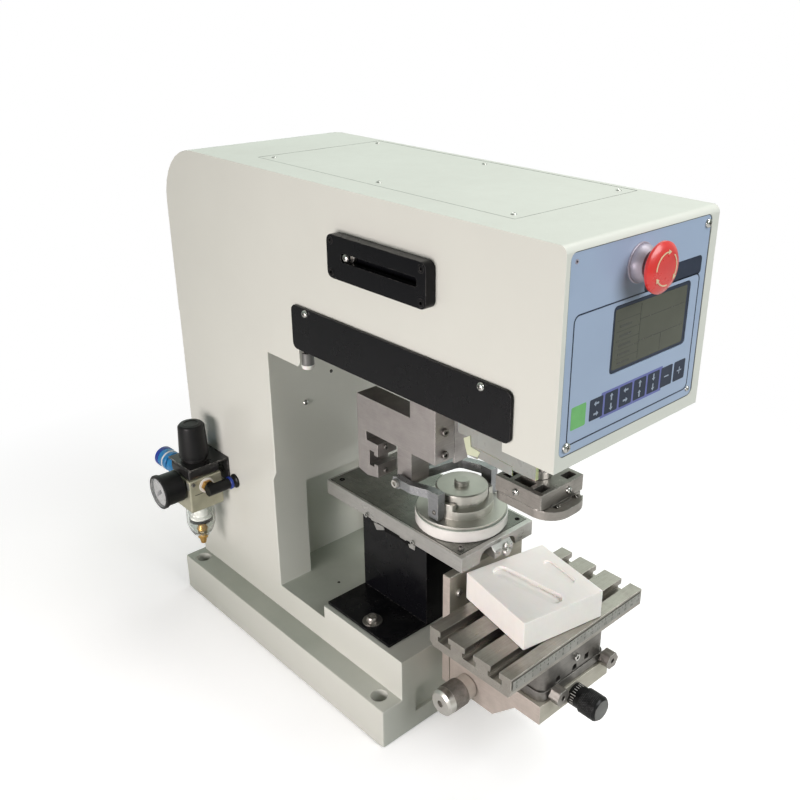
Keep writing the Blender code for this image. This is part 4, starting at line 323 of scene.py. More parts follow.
# A text such as "printer_paint.cream" stands for the value of that setting.
FINISHES = {
    "cream_enamel": ENAMEL,
    # The castings' enamel, with painted shade on its low faces and ledges.
    "cast_enamel": dict(**ENAMEL, grime=(0.25, 0.28, 0.23)),
    "seam_shadow": dict(colour=(0.16, 0.165, 0.15), roughness=0.7, patches=(30.0, 0.4)),
    "black_satin": dict(colour=(0.0045, 0.0045, 0.006), roughness=0.26, patches=(26.0, 0.3),
        grain=(1500.0, 0.012), wear=(0.0008, (0.16, 0.15, 0.14), 0.6), dust=0.02, spread=0.10,
        sockets={"Specular IOR Level": 0.16}),
    "black_plastic": dict(colour=(0.006, 0.006, 0.0065), roughness=0.36, patches=(60.0, 0.3),
        grain=(1800.0, 0.03), wear=(0.0006, (0.10, 0.10, 0.10), 0.5), spread=0.08,
        sockets={"Specular IOR Level": 0.22}),
    "milled_aluminium": dict(colour=(0.46, 0.425, 0.415), roughness=0.36, metallic=0.88,
        patches=(30.0, 0.22), grain=(1400.0, 0.01), lines=((60.0, 60.0, 2200.0), 0.20, 0.014),
        wear=(0.0007, (0.86, 0.85, 0.83), 0.8), spread=0.09),
    # The rims colour paints shade on the knee's front and top, darker and more olive than its lit
    # sides.
    "knee_aluminium": dict(colour=(0.66, 0.575, 0.52), roughness=0.42, metallic=0.65,
        patches=(45.0, 0.18), grain=(900.0, 0.03), lines=((60.0, 60.0, 1500.0), 0.12, 0.010),
        wear=(0.0007, (0.82, 0.78, 0.75), 0.8), dust=0.05, spread=0.09,
        rims=(0.52, 0.49, 0.42)),
    "tray_aluminium": dict(colour=(0.58, 0.565, 0.545), roughness=0.30, metallic=0.95,
        patches=(40.0, 0.18), lines=((60.0, 22.0, 2400.0), 0.18, 0.010),
        wear=(0.0006, (0.88, 0.87, 0.85), 0.9), spread=0.09),
    "ground_steel": dict(colour=(0.46, 0.43, 0.39), roughness=0.30, metallic=0.95,
        patches=(45.0, 0.26), lines=((24.0, 2600.0, 900.0), 0.26, 0.012),
        wear=(0.0006, (0.80, 0.78, 0.75), 0.9), dust=0.12, spread=0.10),
    "dark_steel": dict(colour=(0.27, 0.255, 0.24), roughness=0.36, metallic=0.92,
        patches=(50.0, 0.28), lines=((40.0, 500.0, 2400.0), 0.22, 0.012),
        wear=(0.0006, (0.75, 0.73, 0.70), 0.9), spread=0.10),
    "holder_steel": dict(colour=(0.36, 0.335, 0.31), roughness=0.30, metallic=0.92,
        patches=(50.0, 0.25), lines=((40.0, 60.0, 2000.0), 0.16, 0.008),
        wear=(0.0007, (0.82, 0.80, 0.77), 1.0), spread=0.09),
    "fork_steel": dict(colour=(0.36, 0.365, 0.38), roughness=0.26, metallic=0.92,
        patches=(60.0, 0.18), lines=((60.0, 60.0, 1800.0), 0.20, 0.010),
        wear=(0.0007, (0.70, 0.69, 0.67), 1.0), spread=0.09),
    "knurled_steel": dict(colour=(0.30, 0.275, 0.255), roughness=0.40, metallic=0.9,
        patches=(200.0, 0.3), grain=(2500.0, 0.02), spread=0.08),
    "turned_steel": dict(colour=(0.64, 0.62, 0.59), roughness=0.34, metallic=1.0,
        patches=(70.0, 0.12), grain=(1500.0, 0.006), spread=0.05),
    "plated_steel": dict(colour=(0.60, 0.59, 0.57), roughness=0.16, metallic=1.0,
        patches=(300.0, 0.3), grain=(2500.0, 0.006), spread=0.06),
    "cup_steel": dict(colour=(0.60, 0.585, 0.54), roughness=0.36, metallic=0.92,
        patches=(30.0, 0.08), lines=((6.0, 6.0, 1500.0), 0.08, 0.0), spread=0.03),
    "cliche_steel": dict(colour=(0.20, 0.205, 0.185), roughness=0.22, metallic=0.90,
        patches=(35.0, 0.25), lines=((1200.0, 30.0, 100.0), 0.20, 0.004), dust=0.10,
        spread=0.10),
    "ring_ceramic": dict(colour=(0.92, 0.89, 0.85), roughness=0.16, patches=(50.0, 0.06),
        spread=0.04, sockets={"Coat Weight": 0.4, "Coat Roughness": 0.06}),
    "white_acetal": dict(colour=(0.97, 0.93, 0.885), roughness=0.38, patches=(24.0, 0.06),
        grain=(900.0, 0.015), lines=((900.0, 60.0, 60.0), 0.03, 0.006), spread=0.06,
        sockets={"Subsurface Weight": 0.12, "Subsurface Scale": 0.004}),
    "panel_foil": dict(colour="printer_panel.foil", roughness=0.34, patches=(9.0, 0.07),
        grain=(2400.0, 0.012), spread=0.05),
    "navy_ink": dict(colour="printer_panel.ink", roughness=0.34, patches=(60.0, 0.2),
        grain=(2400.0, 0.01), spread=0.06, sockets={"Specular IOR Level": 0.2}),
    "violet_ink": dict(colour=(0.115, 0.135, 0.40), roughness=0.34, patches=(50.0, 0.12),
        grain=(2400.0, 0.01)),
    "pale_ink": dict(colour=(0.34, 0.40, 0.50), roughness=0.40, patches=(90.0, 0.2)),
    "green_key": dict(colour=(0.15, 0.48, 0.14), roughness=0.34, patches=(60.0, 0.18),
        grain=(2400.0, 0.01)),
    "display_glass": dict(colour=(0.078, 0.082, 0.058), roughness=0.16, patches=(14.0, 0.22),
        spread=0.05, sockets={"Specular IOR Level": 0.3}),
    "display_segments": dict(colour=(0.040, 0.043, 0.033), roughness=0.25, patches=(80.0, 0.3)),
    "stop_red": dict(colour=(0.74, 0.036, 0.033), roughness=0.30, patches=(60.0, 0.12),
        grain=(1200.0, 0.01), wear=(0.0008, (0.85, 0.20, 0.18), 0.4), spread=0.05,
        sockets={"Coat Weight": 0.3, "Coat Roughness": 0.1}),
    "arrow_cream": dict(colour=(0.80, 0.66, 0.42), roughness=0.4, patches=(90.0, 0.15)),
    "collar_alloy": dict(colour=(0.46, 0.42, 0.49), roughness=0.42, metallic=0.35,
        patches=(60.0, 0.15), lines=((60.0, 1500.0, 60.0), 0.10, 0.005), spread=0.06),
    "cap_grey": dict(colour=(0.16, 0.16, 0.155), roughness=0.42, metallic=0.4,
        patches=(90.0, 0.15), grain=(1800.0, 0.012)),
    "seal_rubber": dict(colour=(0.34, 0.38, 0.33), roughness=0.5, patches=(120.0, 0.2)),
    "cheek_plastic": dict(colour=(0.36, 0.37, 0.345), roughness=0.30, patches=(40.0, 0.12),
        rims=(0.60, 0.66, 0.34), sockets={"Subsurface Weight": 0.1, "Subsurface Scale": 0.003}),
    "guard_plastic": dict(colour=(0.70, 0.74, 0.54), roughness=0.35, patches=(60.0, 0.12),
        grain=(900.0, 0.01)),
    "regulator_alloy": dict(colour=(0.46, 0.445, 0.335), roughness=0.40, metallic=0.45,
        patches=(60.0, 0.2), grain=(1100.0, 0.05), wear=(0.0006, (0.62, 0.60, 0.50), 0.7),
        spread=0.08),
    "worn_bracket": dict(colour=(0.022, 0.021, 0.021), roughness=0.32, metallic=0.3,
        patches=(50.0, 0.3), grain=(1500.0, 0.02), wear=(0.0012, (0.62, 0.60, 0.57), 1.0),
        spread=0.09),
    "brass": dict(colour=(0.62, 0.37, 0.12), roughness=0.24, metallic=1.0,
        patches=(120.0, 0.25), grain=(1500.0, 0.01), spread=0.08),
    "filter_felt": dict(colour=(0.84, 0.83, 0.80), roughness=0.7, patches=(120.0, 0.08),
        grain=(2600.0, 0.10)),
    "coupler_blue": dict(colour=(0.015, 0.24, 0.56), roughness=0.28, patches=(80.0, 0.3),
        grain=(900.0, 0.02), wear=(0.0008, (0.35, 0.55, 0.75), 0.5), spread=0.08),
    "sleeve_blue": dict(colour=(0.012, 0.045, 0.36), roughness=0.30, patches=(80.0, 0.3),
        grain=(900.0, 0.02), spread=0.08),
    "dial_white": dict(colour=(0.82, 0.82, 0.80), roughness=0.45, patches=(60.0, 0.06)),
    "dial_grey": dict(colour=(0.27, 0.27, 0.265), roughness=0.5, patches=(60.0, 0.1)),
    "dial_black": dict(colour=(0.02, 0.02, 0.022), roughness=0.4, patches=(200.0, 0.3)),
    "tick_white": dict(colour=(0.72, 0.71, 0.68), roughness=0.45, patches=(200.0, 0.2)),
    "scale_metal": dict(colour=(0.36, 0.355, 0.33), roughness=0.34, metallic=0.7,
        patches=(60.0, 0.2), lines=((30.0, 60.0, 2200.0), 0.14, 0.005), spread=0.08),
    # Near black that paints the shade inside holes, in the tray's notch and in the slide's gap.
    "socket_dark": dict(colour=(0.006, 0.006, 0.006), roughness=0.7, patches=(200.0, 0.3),
        sockets={"Specular IOR Level": 0.1}),
    "bowl_plastic": dict(colour=(0.74, 0.77, 0.74), roughness=0.04, patches=(60.0, 0.08),
        grain=(260.0, 0.02), spread=0.02, clear=True),
    "lens_plastic": dict(colour=(0.96, 0.97, 0.97), roughness=0.03, patches=(60.0, 0.08),
        grain=(260.0, 0.02), spread=0.02, clear=True),
}


def setting(value):
    """A value, or the value of the setting that a text names."""
    if not isinstance(value, str):
        return value
    group, field = value.split(".")
    held = getattr(getattr(bpy.context.scene, group), field)
    return held if isinstance(held, float) else tuple(held)


@cache
def finish(name):
    """The material of a finish in the table, made once."""
    return surface(name, **{key: setting(value) for key, value in FINISHES[name].items()})


# ------------------------------------------------------ finishes of the solids

# A group of solids with its finish and the width to which their hard edges are eased.
SOLID_FINISHES = (
    ("cream_enamel", 0.0008, ("base_casting", "head_casing")),
    ("cream_enamel", 0.0004, ("top_cover",)),
    ("panel_foil", 0.0002, ("control_panel",)),
    ("navy_ink", 0.0002, ("screen",)),
    ("collar_alloy", 0.0, ("estop_collar",)),
    ("stop_red", 0.0, ("estop_head",)),
    ("black_satin", 0.0006, ("guard_plate", "slot_plate", "pedestal")),
    ("knee_aluminium", 0.0005, ("knee", "lift_plate")),
    ("black_plastic", 0.0003, ("estop_stem", "regulator_knob", "outlet_elbow", "gauge_case",
                               "cross_knob")),
    ("worn_bracket", 0.0004, ("bonnet", "regulator_bracket")),
    ("milled_aluminium", 0.0005, ("rail_plate", "carriage_bridge", "carriage_block",
                                  "pad_cylinder")),
    ("fork_steel", 0.0004, ("fork_arm_left", "fork_arm_right")),
    ("tray_aluminium", 0.0005, ("cliche_tray", "clamp_bar")),
    ("dark_steel", 0.0004, ("cross_slide", "saddle")),
    ("holder_steel", 0.0005, ("pad_holder", "pad_plate")),
    ("ground_steel", 0.0004, ("slotted_table",)),
    ("scale_metal", 0.0001, ("scale_strip",)),
    ("turned_steel", 0.0003, ("guide_rail_left", "guide_rail_right", "lift_rail", "pad_rod",
                              "fork_shaft", "stop_pin", "clamp_screw", "lift_knob")),
    ("holder_steel", 0.0003, ("lock_knob_left", "lock_knob_right", "pedestal_bolt_left",
                              "pedestal_bolt_right")),
    ("cup_steel", 0.0003, ("cup_body", "cup_cap")),
    ("cliche_steel", 0.0002, ("cliche_plate",)),
    ("ring_ceramic", 0.0003, ("ink_ring",)),
    ("cheek_plastic", 0.0003, ("cylinder_cheek",)),
    ("white_acetal", 0.0008, ("jig_block",)),
    ("regulator_alloy", 0.0006, ("regulator_body",)),
    ("brass", 0.0003, ("outlet_nipple", "drain_cock")),
    ("filter_felt", 0.0004, ("filter_element",)),
    ("bowl_plastic", 0.0, ("filter_bowl",)),
    ("lens_plastic", 0.0, ("gauge_lens",)),
    ("dial_black", 0.0, ("gauge_pointer",)),
    ("coupler_blue", 0.0004, ("coupler_body", "coupler_sleeve")),
)
SMOOTH_ANGLE = math.radians(38)
FLAT_ANGLE = math.radians(0.5)


@cache
def smooth_tree():
    """Shades a mesh smooth up to an angle between its faces."""
    tree, given, made = shape_group("Smooth to an angle",
                                    ("Angle", "NodeSocketFloat", SMOOTH_ANGLE))
    faces = add(tree, "GeometryNodeSetShadeSmooth", {"Geometry": given["Geometry"]},
                domain="FACE")
    angle = add(tree, "GeometryNodeInputMeshEdgeAngle").outputs["Unsigned Angle"]
    gentle = add(tree, "FunctionNodeCompare", {0: angle, 1: given["Angle"]},
                 operation="LESS_THAN")
    edges = add(tree, "GeometryNodeSetShadeSmooth",
                {"Geometry": faces.outputs[0], "Shade Smooth": gentle.outputs[0]}, domain="EDGE")
    tree.links.new(edges.outputs[0], made["Geometry"])
    return tree


def ease(shown, width, merge=False):
    """Rounds an object's hard edges and smooths its shading. Loose triangles are merged first."""
    if merge:
        shown.modifiers.new("Merge", "WELD").merge_threshold = MERGE
        flat = shown.modifiers.new("Flat faces", "DECIMATE")
        flat.decimate_type = "DISSOLVE"
        flat.angle_limit = FLAT_ANGLE
    if width:
        edge = shown.modifiers.new("Eased edges", "BEVEL")
        edge.width = width
        edge.segments = 2
        edge.limit_method = "ANGLE"
        edge.angle_limit = SMOOTH_ANGLE
        edge.use_clamp_overlap = True
    shown.modifiers.new("Smooth", "NODES").node_group = smooth_tree()
    shown.modifiers.new("Even shading", "WEIGHTED_NORMAL").keep_sharp = True


def finish_solids():
    for material, width, names in SOLID_FINISHES:
        for name in names:
            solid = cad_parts[name]
            solid.data.materials.clear()
            solid.data.materials.append(finish(material))
            ease(solid, width, merge=True)


def welded_copy(name, lowest=None):
    """A merged copy of a solid's mesh in the scene's frame. Its lowest points can be moved."""
    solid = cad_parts[name]
    bm = bmesh.new()
    bm.from_mesh(solid.data)
    bm.transform(solid.matrix_world)
    bmesh.ops.remove_doubles(bm, verts=bm.verts, dist=MERGE)
    if lowest is not None:
        floor = min(vertex.co.z for vertex in bm.verts)
        for vertex in bm.verts:
            if vertex.co.z < floor + 0.15 * MM:
                vertex.co.z = lowest
    return linked(name + "_copy", mesh_of(name + "_copy", bm))


def fused_shell():
    """Base and head in one painted skin, as on the machine, where no joint shows between them."""
    overlap = 0.0006
    base = welded_copy("base_casting")
    head = welded_copy("head_casing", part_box("base_casting")[1].z - overlap)
    union = base.modifiers.new("Fuse", "BOOLEAN")
    union.operation = "UNION"
    union.solver = "EXACT"
    union.object = head
    mesh = plain_mesh("painted_shell", base)
    bpy.data.objects.remove(head)
    mesh.materials.clear()
    mesh.materials.append(finish("cast_enamel"))
    shell = linked("painted_shell", mesh)
    ease(shell, 0.0007, merge=True)
    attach(shell, "machine")
    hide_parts("base_casting", "head_casing")


# ------------------------------------------------------------ shapes of pieces

CROSS_ARM = 0.24
THINNEST = 0.02 * MM
PRINT_DEPTH = 0.05 * MM


def seat(point, outward, up=UP):
    """The place of a piece made on XY: its Z looks outward and its Y goes up."""
    normal = Vector(outward).normalized()
    side = Vector(up).cross(normal).normalized()
    rows = Matrix((side, normal.cross(side), normal)).transposed().to_4x4()
    return Matrix.Translation(point) @ rows


def rounded_box(width, height, radius, steps=5):
    """Points of a rectangle with round corners about the origin."""
    points = []
    for quarter, (right, top) in enumerate(((1, 1), (-1, 1), (-1, -1), (1, -1))):
        for step in range(steps + 1):
            angle = math.radians(90) * (quarter + step / steps)
            points.append((right * (width / 2 - radius) + radius * math.cos(angle),
                           top * (height / 2 - radius) + radius * math.sin(angle)))
    return points


def loops(bm, rings, place, ring_closed=False):
    """Skins rings of equal count, given as lists of 3D points, and closes both ends or joins
    them."""
    made = [[bm.verts.new(place @ Vector(p)) for p in ring] for ring in rings]
    pairs = list(zip(made, made[1:]))
    if ring_closed:
        pairs.append((made[-1], made[0]))
    for low, high in pairs:
        for i in range(len(low)):
            j = (i + 1) % len(low)
            bm.faces.new((low[i], low[j], high[j], high[i]))
    if not ring_closed:
        bm.faces.new(made[0][::-1])
        bm.faces.new(made[-1])


def plate(bm, outline, low, high, place, chamfer=0.0):
    """A flat plate of an outline about the origin, with its upper rim chamfered."""
    levels = [(1.0, low), (1.0, high)]
    if chamfer:
        reach = max(abs(c) for p in outline for c in p)
        levels = [(1.0, low), (1.0, high - chamfer), (1.0 - chamfer / reach, high)]
    loops(bm, [[(u * s, v * s, z) for u, v in outline] for s, z in levels], place)


def band(bm, outer, inner, low, high, place):
    """A flat frame between two outlines of equal count."""
    rings = [[(u, v, z) for u, v in outline]
             for outline, z in ((outer, low), (outer, high), (inner, high), (inner, low))]
    loops(bm, rings, place, ring_closed=True)


def slab(bm, outline, left, right):
    """A plate between two X planes whose outline is given as (Y, Z) points."""
    loops(bm, [[(x, y, z) for y, z in outline] for x in (left, right)], Matrix.Identity(4))


def drive_radius(form, radius, angle):
    """Radius of a round, hexagonal or crossed outline at an angle."""
    if form == "hex":
        within = (angle + math.pi / 6) % (math.pi / 3) - math.pi / 6
        return radius * math.cos(math.pi / 6) / math.cos(within)
    if form == "cross":
        within = (angle + math.pi / 4) % (math.pi / 2) - math.pi / 4
        return min(radius, radius * CROSS_ARM / max(abs(math.sin(within)), CROSS_ARM))
    return radius


def turned(bm, profile, place, sides):
    """A closed turned shape from (radius, height) or (radius, height, form) points."""
    rings = []
    for radius, height, *form in profile:
        ring = []
        for side in range(sides):
            angle = math.tau * side / sides
            reach = drive_radius(form[0] if form else "round", max(radius, THINNEST), angle)
            ring.append((reach * math.cos(angle), reach * math.sin(angle), height))
        rings.append(ring)
    loops(bm, rings, place)


def piece(name, bm, material, body):
    """Turns mesh work into a named piece with a finish, which rides on a body."""
    bmesh.ops.recalc_face_normals(bm, faces=bm.faces)
    mesh = mesh_of(name, bm)
    mesh.materials.append(finish(material))
    made = linked(name, mesh)
    ease(made, 0.0)
    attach(made, body)


def plate_piece(name, outline, low, high, place, material, body, chamfer=0.0):
    bm = bmesh.new()
    plate(bm, outline, low, high, place, chamfer)
    piece(name, bm, material, body)


def slab_piece(name, outlines, left, right, material, body):
    bm = bmesh.new()
    for outline in outlines:
        slab(bm, outline, left, right)
    piece(name, bm, material, body)


def turned_piece(name, profile, place, sides, material, body):
    bm = bmesh.new()
    turned(bm, profile, place, sides)
    piece(name, bm, material, body)


def ring_piece(name, section, sides, place, material, body):
    """A ring turned from a closed section of (radius, height) points."""
    turns = [math.tau * side / sides for side in range(sides)]
    bm = bmesh.new()
    loops(bm, [[(r * math.cos(turn), r * math.sin(turn), z) for turn in turns]
               for r, z in section], place, ring_closed=True)
    piece(name, bm, material, body)


def lettering(name, marks, size, material, body):
    """Plain numerals, each (text, place), as one thin mesh piece."""
    bm = bmesh.new()
    for text, place in marks:
        curve = bpy.data.curves.new(name, "FONT")
        curve.body = text
        curve.size = size
        curve.extrude = PRINT_DEPTH
        curve.align_x = curve.align_y = "CENTER"
        mesh = plain_mesh(name + "_text", linked(name, curve))
        mesh.transform(place)
        bm.from_mesh(mesh)
        bpy.data.meshes.remove(mesh)
    piece(name, bm, material, body)


# -------------------------------------------- repeated parts by geometry nodes

MATERIAL = ("Material", "NodeSocketMaterial", None)


def grown(name, tree, values, material, body, place=None, base=None):
    """The plain mesh that a tree makes, of a base mesh if there is one, put in place to ride on
    a body."""
    holder = linked(name + "_seed", base or bpy.data.meshes.new(name + "_seed"))
    modifier = holder.modifiers.new("Grow", "NODES")
    modifier.node_group = tree
    identifiers = {item.name: item.identifier for item in tree.interface.items_tree
                   if item.item_type == "SOCKET" and item.in_out == "INPUT"}
    for label, value in {**values, "Material": finish(material)}.items():
        modifier[identifiers[label]] = value
    mesh = plain_mesh(name, holder)
    if place:
        mesh.transform(place)
    made = linked(name, mesh)
    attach(made, body)
    return made


def end_tree(tree, geometry, material, made):
    real = add(tree, "GeometryNodeRealizeInstances", {"Geometry": geometry})
    clad = add(tree, "GeometryNodeSetMaterial",
               {"Geometry": real.outputs[0], "Material": material})
    tree.links.new(clad.outputs[0], made["Geometry"])


@cache
def screw_tree():
    """Sets a screw head on every point, facing the way the point says, each turned at random."""
    tree, given, made = shape_group("Screw heads", ("Head", "NodeSocketObject", None),
                                    MATERIAL, ("Seed", "NodeSocketInt", 7))
    head = add(tree, "GeometryNodeObjectInfo", {"Object": given["Head"]})
    aim = add(tree, "GeometryNodeInputNamedAttribute", {"Name": "facing"},
              data_type="FLOAT_VECTOR")
    size = add(tree, "GeometryNodeInputNamedAttribute", {"Name": "size"}, data_type="FLOAT")
    aligned = add(tree, "FunctionNodeAlignRotationToVector",
                  {"Vector": aim.outputs["Attribute"]}, axis="Z")
    turn = add(tree, "FunctionNodeRandomValue", {2: 0.0, 3: math.tau, "Seed": given["Seed"]},
               data_type="FLOAT")
    spin = add(tree, "FunctionNodeAxisAngleToRotation", {"Angle": turn.outputs[1]})
    turned_in = add(tree, "FunctionNodeRotateRotation",
                    {"Rotation": aligned.outputs[0], "Rotate By": spin.outputs[0]},
                    rotation_space="LOCAL")
    heads = add(tree, "GeometryNodeInstanceOnPoints",
                {"Points": given["Geometry"], "Instance": head.outputs["Geometry"],
                 "Rotation": turned_in.outputs[0], "Scale": size.outputs["Attribute"]})
    end_tree(tree, heads.outputs[0], given["Material"], made)
    return tree


# Heads of one metre across, scaled to each screw's diameter, from the outer rim inwards.
SCREW_HEADS = {
    "socket": ((0.50, 0.00), (0.50, 0.34), (0.46, 0.40), (0.30, 0.40), (0.27, 0.38, "hex"),
               (0.26, 0.06, "hex"), (0.00, 0.02)),
    "countersunk": ((0.50, 0.00), (0.49, 0.05), (0.30, 0.06), (0.26, 0.05, "hex"),
                    (0.25, -0.20, "hex"), (0.00, -0.22)),
    "pan": ((0.50, 0.00), (0.50, 0.10), (0.44, 0.24), (0.34, 0.31), (0.28, 0.33, "cross"),
            (0.20, 0.12, "cross"), (0.00, 0.08)),
    "button": ((0.50, 0.00), (0.49, 0.09), (0.43, 0.19), (0.34, 0.25), (0.24, 0.265, "hex"),
               (0.23, 0.08, "hex"), (0.00, 0.06)),
}


def screws(name, form, spots, body, material="plated_steel"):
    """Screw heads of one form. A spot is (point, outward, diameter)."""
    bm = bmesh.new()
    turned(bm, SCREW_HEADS[form], Matrix.Identity(4), 24)
    bmesh.ops.recalc_face_normals(bm, faces=bm.faces)
    head = linked(name + "_head", mesh_of(name + "_head", bm))
    base = bpy.data.meshes.new(name + "_spots")
    base.from_pydata([point for point, _, _ in spots], [], [])
    aim = base.attributes.new("facing", "FLOAT_VECTOR", "POINT")
    aim.data.foreach_set("vector", [c for _, outward, _ in spots for c in outward])
    size = base.attributes.new("size", "FLOAT", "POINT")
    size.data.foreach_set("value", [diameter for _, _, diameter in spots])
    made = grown(name, screw_tree(), {"Head": head}, material, body, base=base)
    bpy.data.objects.remove(head)
    for attribute in ("facing", "size"):
        if attribute in made.data.attributes:
            made.data.attributes.remove(made.data.attributes[attribute])
    ease(made, 0.0)


def tick_boxes(tree, points, given, rotation):
    """Boxes on points, each the short size or, every so many, the long one."""
    index = add(tree, "GeometryNodeInputIndex").outputs[0]
    left_over = add(tree, "ShaderNodeMath", {0: index, 1: given["Long every"]},
                    operation="MODULO").outputs[0]
    is_long = add(tree, "FunctionNodeCompare", {0: left_over, 1: 0.5}, operation="LESS_THAN")
    size = add(tree, "GeometryNodeSwitch", {0: is_long.outputs[0], 1: given["Size"],
                                            2: given["Long size"]}, input_type="VECTOR")
    cube = add(tree, "GeometryNodeMeshCube", {"Size": (1, 1, 1)})
    return add(tree, "GeometryNodeInstanceOnPoints",
               {"Points": points, "Instance": cube.outputs[0], "Rotation": rotation,
                "Scale": size.outputs[0]}).outputs[0]


def spot_round(tree, angle, radius, height=0.0):
    """The point at an angle and a radius about the Z axis."""
    across = maths(tree, "MULTIPLY", maths(tree, "COSINE", angle), radius)
    upright = maths(tree, "MULTIPLY", maths(tree, "SINE", angle), radius)
    return add(tree, "ShaderNodeCombineXYZ", {0: across, 1: upright, 2: height}).outputs[0]


TICK_INPUTS = (("Count", "NodeSocketInt", 10), ("Long every", "NodeSocketInt", 5),
               ("Size", "NodeSocketVector", None), ("Long size", "NodeSocketVector", None),
               MATERIAL)


@cache
def ruler_tree():
    """Graduations in a straight row along X."""
    tree, given, made = shape_group("Straight graduations", *TICK_INPUTS,
                                    ("Spacing", "NodeSocketFloat", 0.001))
    step = add(tree, "ShaderNodeCombineXYZ", {0: given["Spacing"]}).outputs[0]
    row = add(tree, "GeometryNodeMeshLine", {"Count": given["Count"], "Offset": step})
    ticks = tick_boxes(tree, row.outputs[0], given, (0, 0, 0))
    end_tree(tree, ticks, given["Material"], made)
    return tree


@cache
def dial_tree():
    """Graduations round the Z axis, over a sweep that starts at an angle."""
    tree, given, made = shape_group(
        "Round graduations", *TICK_INPUTS, ("Radius", "NodeSocketFloat", 0.01),
        ("Sweep", "NodeSocketFloat", math.tau), ("Start", "NodeSocketFloat", 0.0))
    row = add(tree, "GeometryNodeMeshLine", {"Count": given["Count"]})
    index = add(tree, "GeometryNodeInputIndex").outputs[0]
    gaps = maths(tree, "SUBTRACT", given["Count"], 1.0)
    share = maths(tree, "DIVIDE", index, gaps)
    angle = maths(tree, "MULTIPLY_ADD", share, given["Sweep"], given["Start"])
    bent = add(tree, "GeometryNodeSetPosition",
               {"Geometry": row.outputs[0], "Position": spot_round(tree, angle, given["Radius"])})
    aim = add(tree, "GeometryNodeInputPosition").outputs[0]
    turn = add(tree, "FunctionNodeAlignRotationToVector", {"Vector": aim}, axis="X",
               pivot_axis="Z")
    ticks = tick_boxes(tree, bent.outputs[0], given, turn.outputs[0])
    end_tree(tree, ticks, given["Material"], made)
    return tree


@cache
def knurl_tree():
    """Small four-sided points set round the Z axis in staggered rows."""
    tree, given, made = shape_group(
        "Knurl", ("Radius", "NodeSocketFloat", 0.01), ("Length", "NodeSocketFloat", 0.01),
        ("Around", "NodeSocketInt", 40), ("Rows", "NodeSocketInt", 8),
        ("Point", "NodeSocketFloat", 0.0008), ("Height", "NodeSocketFloat", 0.0004), MATERIAL)
    total = maths(tree, "MULTIPLY", given["Around"], given["Rows"])
    dots = add(tree, "GeometryNodeMeshLine", {"Count": total})
    index = add(tree, "GeometryNodeInputIndex").outputs[0]
    row = maths(tree, "FLOOR", maths(tree, "DIVIDE", index, given["Around"]))
    shift = maths(tree, "MULTIPLY", maths(tree, "MODULO", row, 2.0), 0.5)
    turn = maths(tree, "DIVIDE", maths(tree, "ADD", index, shift), given["Around"])
    angle = maths(tree, "MULTIPLY", turn, math.tau)
    last = maths(tree, "SUBTRACT", given["Rows"], 1.0)
    height = maths(tree, "MULTIPLY", maths(tree, "DIVIDE", row, last), given["Length"])
    at = spot_round(tree, angle, given["Radius"], height)
    placed = add(tree, "GeometryNodeSetPosition", {"Geometry": dots.outputs[0], "Position": at})
    out = vector_maths(tree, "MULTIPLY", add(tree, "GeometryNodeInputPosition").outputs[0],
                       (1, 1, 0))
    aligned = add(tree, "FunctionNodeAlignRotationToVector", {"Vector": out}, axis="Z",
                  pivot_axis="AUTO")
    point = add(tree, "GeometryNodeMeshCone",
                {"Vertices": 4, "Radius Top": 0.0, "Radius Bottom": given["Point"],
                 "Depth": given["Height"]})
    points = add(tree, "GeometryNodeInstanceOnPoints",
                 {"Points": placed.outputs[0], "Instance": point.outputs[0],
                  "Rotation": aligned.outputs[0]})
    end_tree(tree, points.outputs[0], given["Material"], made)
    return tree


# -------------------------------------------------------------------- settings

class PaintSettings(PropertyGroup):
    cream: FloatVectorProperty(
        name="Cream", description="Colour of the enamel on the castings", subtype="COLOR",
        size=3, min=0, max=1, default=(0.71, 0.715, 0.655))
    gloss: FloatProperty(
        name="Roughness", description="Roughness of the enamel", min=0.05, max=1, default=0.33)


class FrontPanelSettings(PropertyGroup):
    foil: FloatVectorProperty(
        name="Foil", description="Ground colour of the panel's foil", subtype="COLOR",
        size=3, min=0, max=1, default=(0.36, 0.45, 0.61))
    ink: FloatVectorProperty(
        name="Dark ink", description="Colour of the printed frame, header and keys",
        subtype="COLOR", size=3, min=0, max=1, default=(0.018, 0.028, 0.055))
    line: FloatProperty(
        name="Frame line", description="Width of the printed frame line", unit="LENGTH",
        default=0.0011)
    keys: IntProperty(
        name="Dark keys", description="Number of dark keys in the row", min=1, default=7)
    key_height: FloatProperty(
        name="Key height", description="Height of the printed keys", unit="LENGTH",
        default=0.0170)


class HardwareSettings(PropertyGroup):
    panel_screw: FloatProperty(
        name="Panel screw", description="Diameter of the panel's corner screws", unit="LENGTH",
        default=0.0072)
    plate_screw: FloatProperty(
        name="Plate screw", description="Diameter of the side plates' screws", unit="LENGTH",
        default=0.0072)
    cover_screw: FloatProperty(
        name="Cover screw", description="Diameter of the top cover's screws", unit="LENGTH",
        default=0.0055)
    knurl_point: FloatProperty(
        name="Knurl point", description="Half width of one point of the knurls", unit="LENGTH",
        default=0.00075)


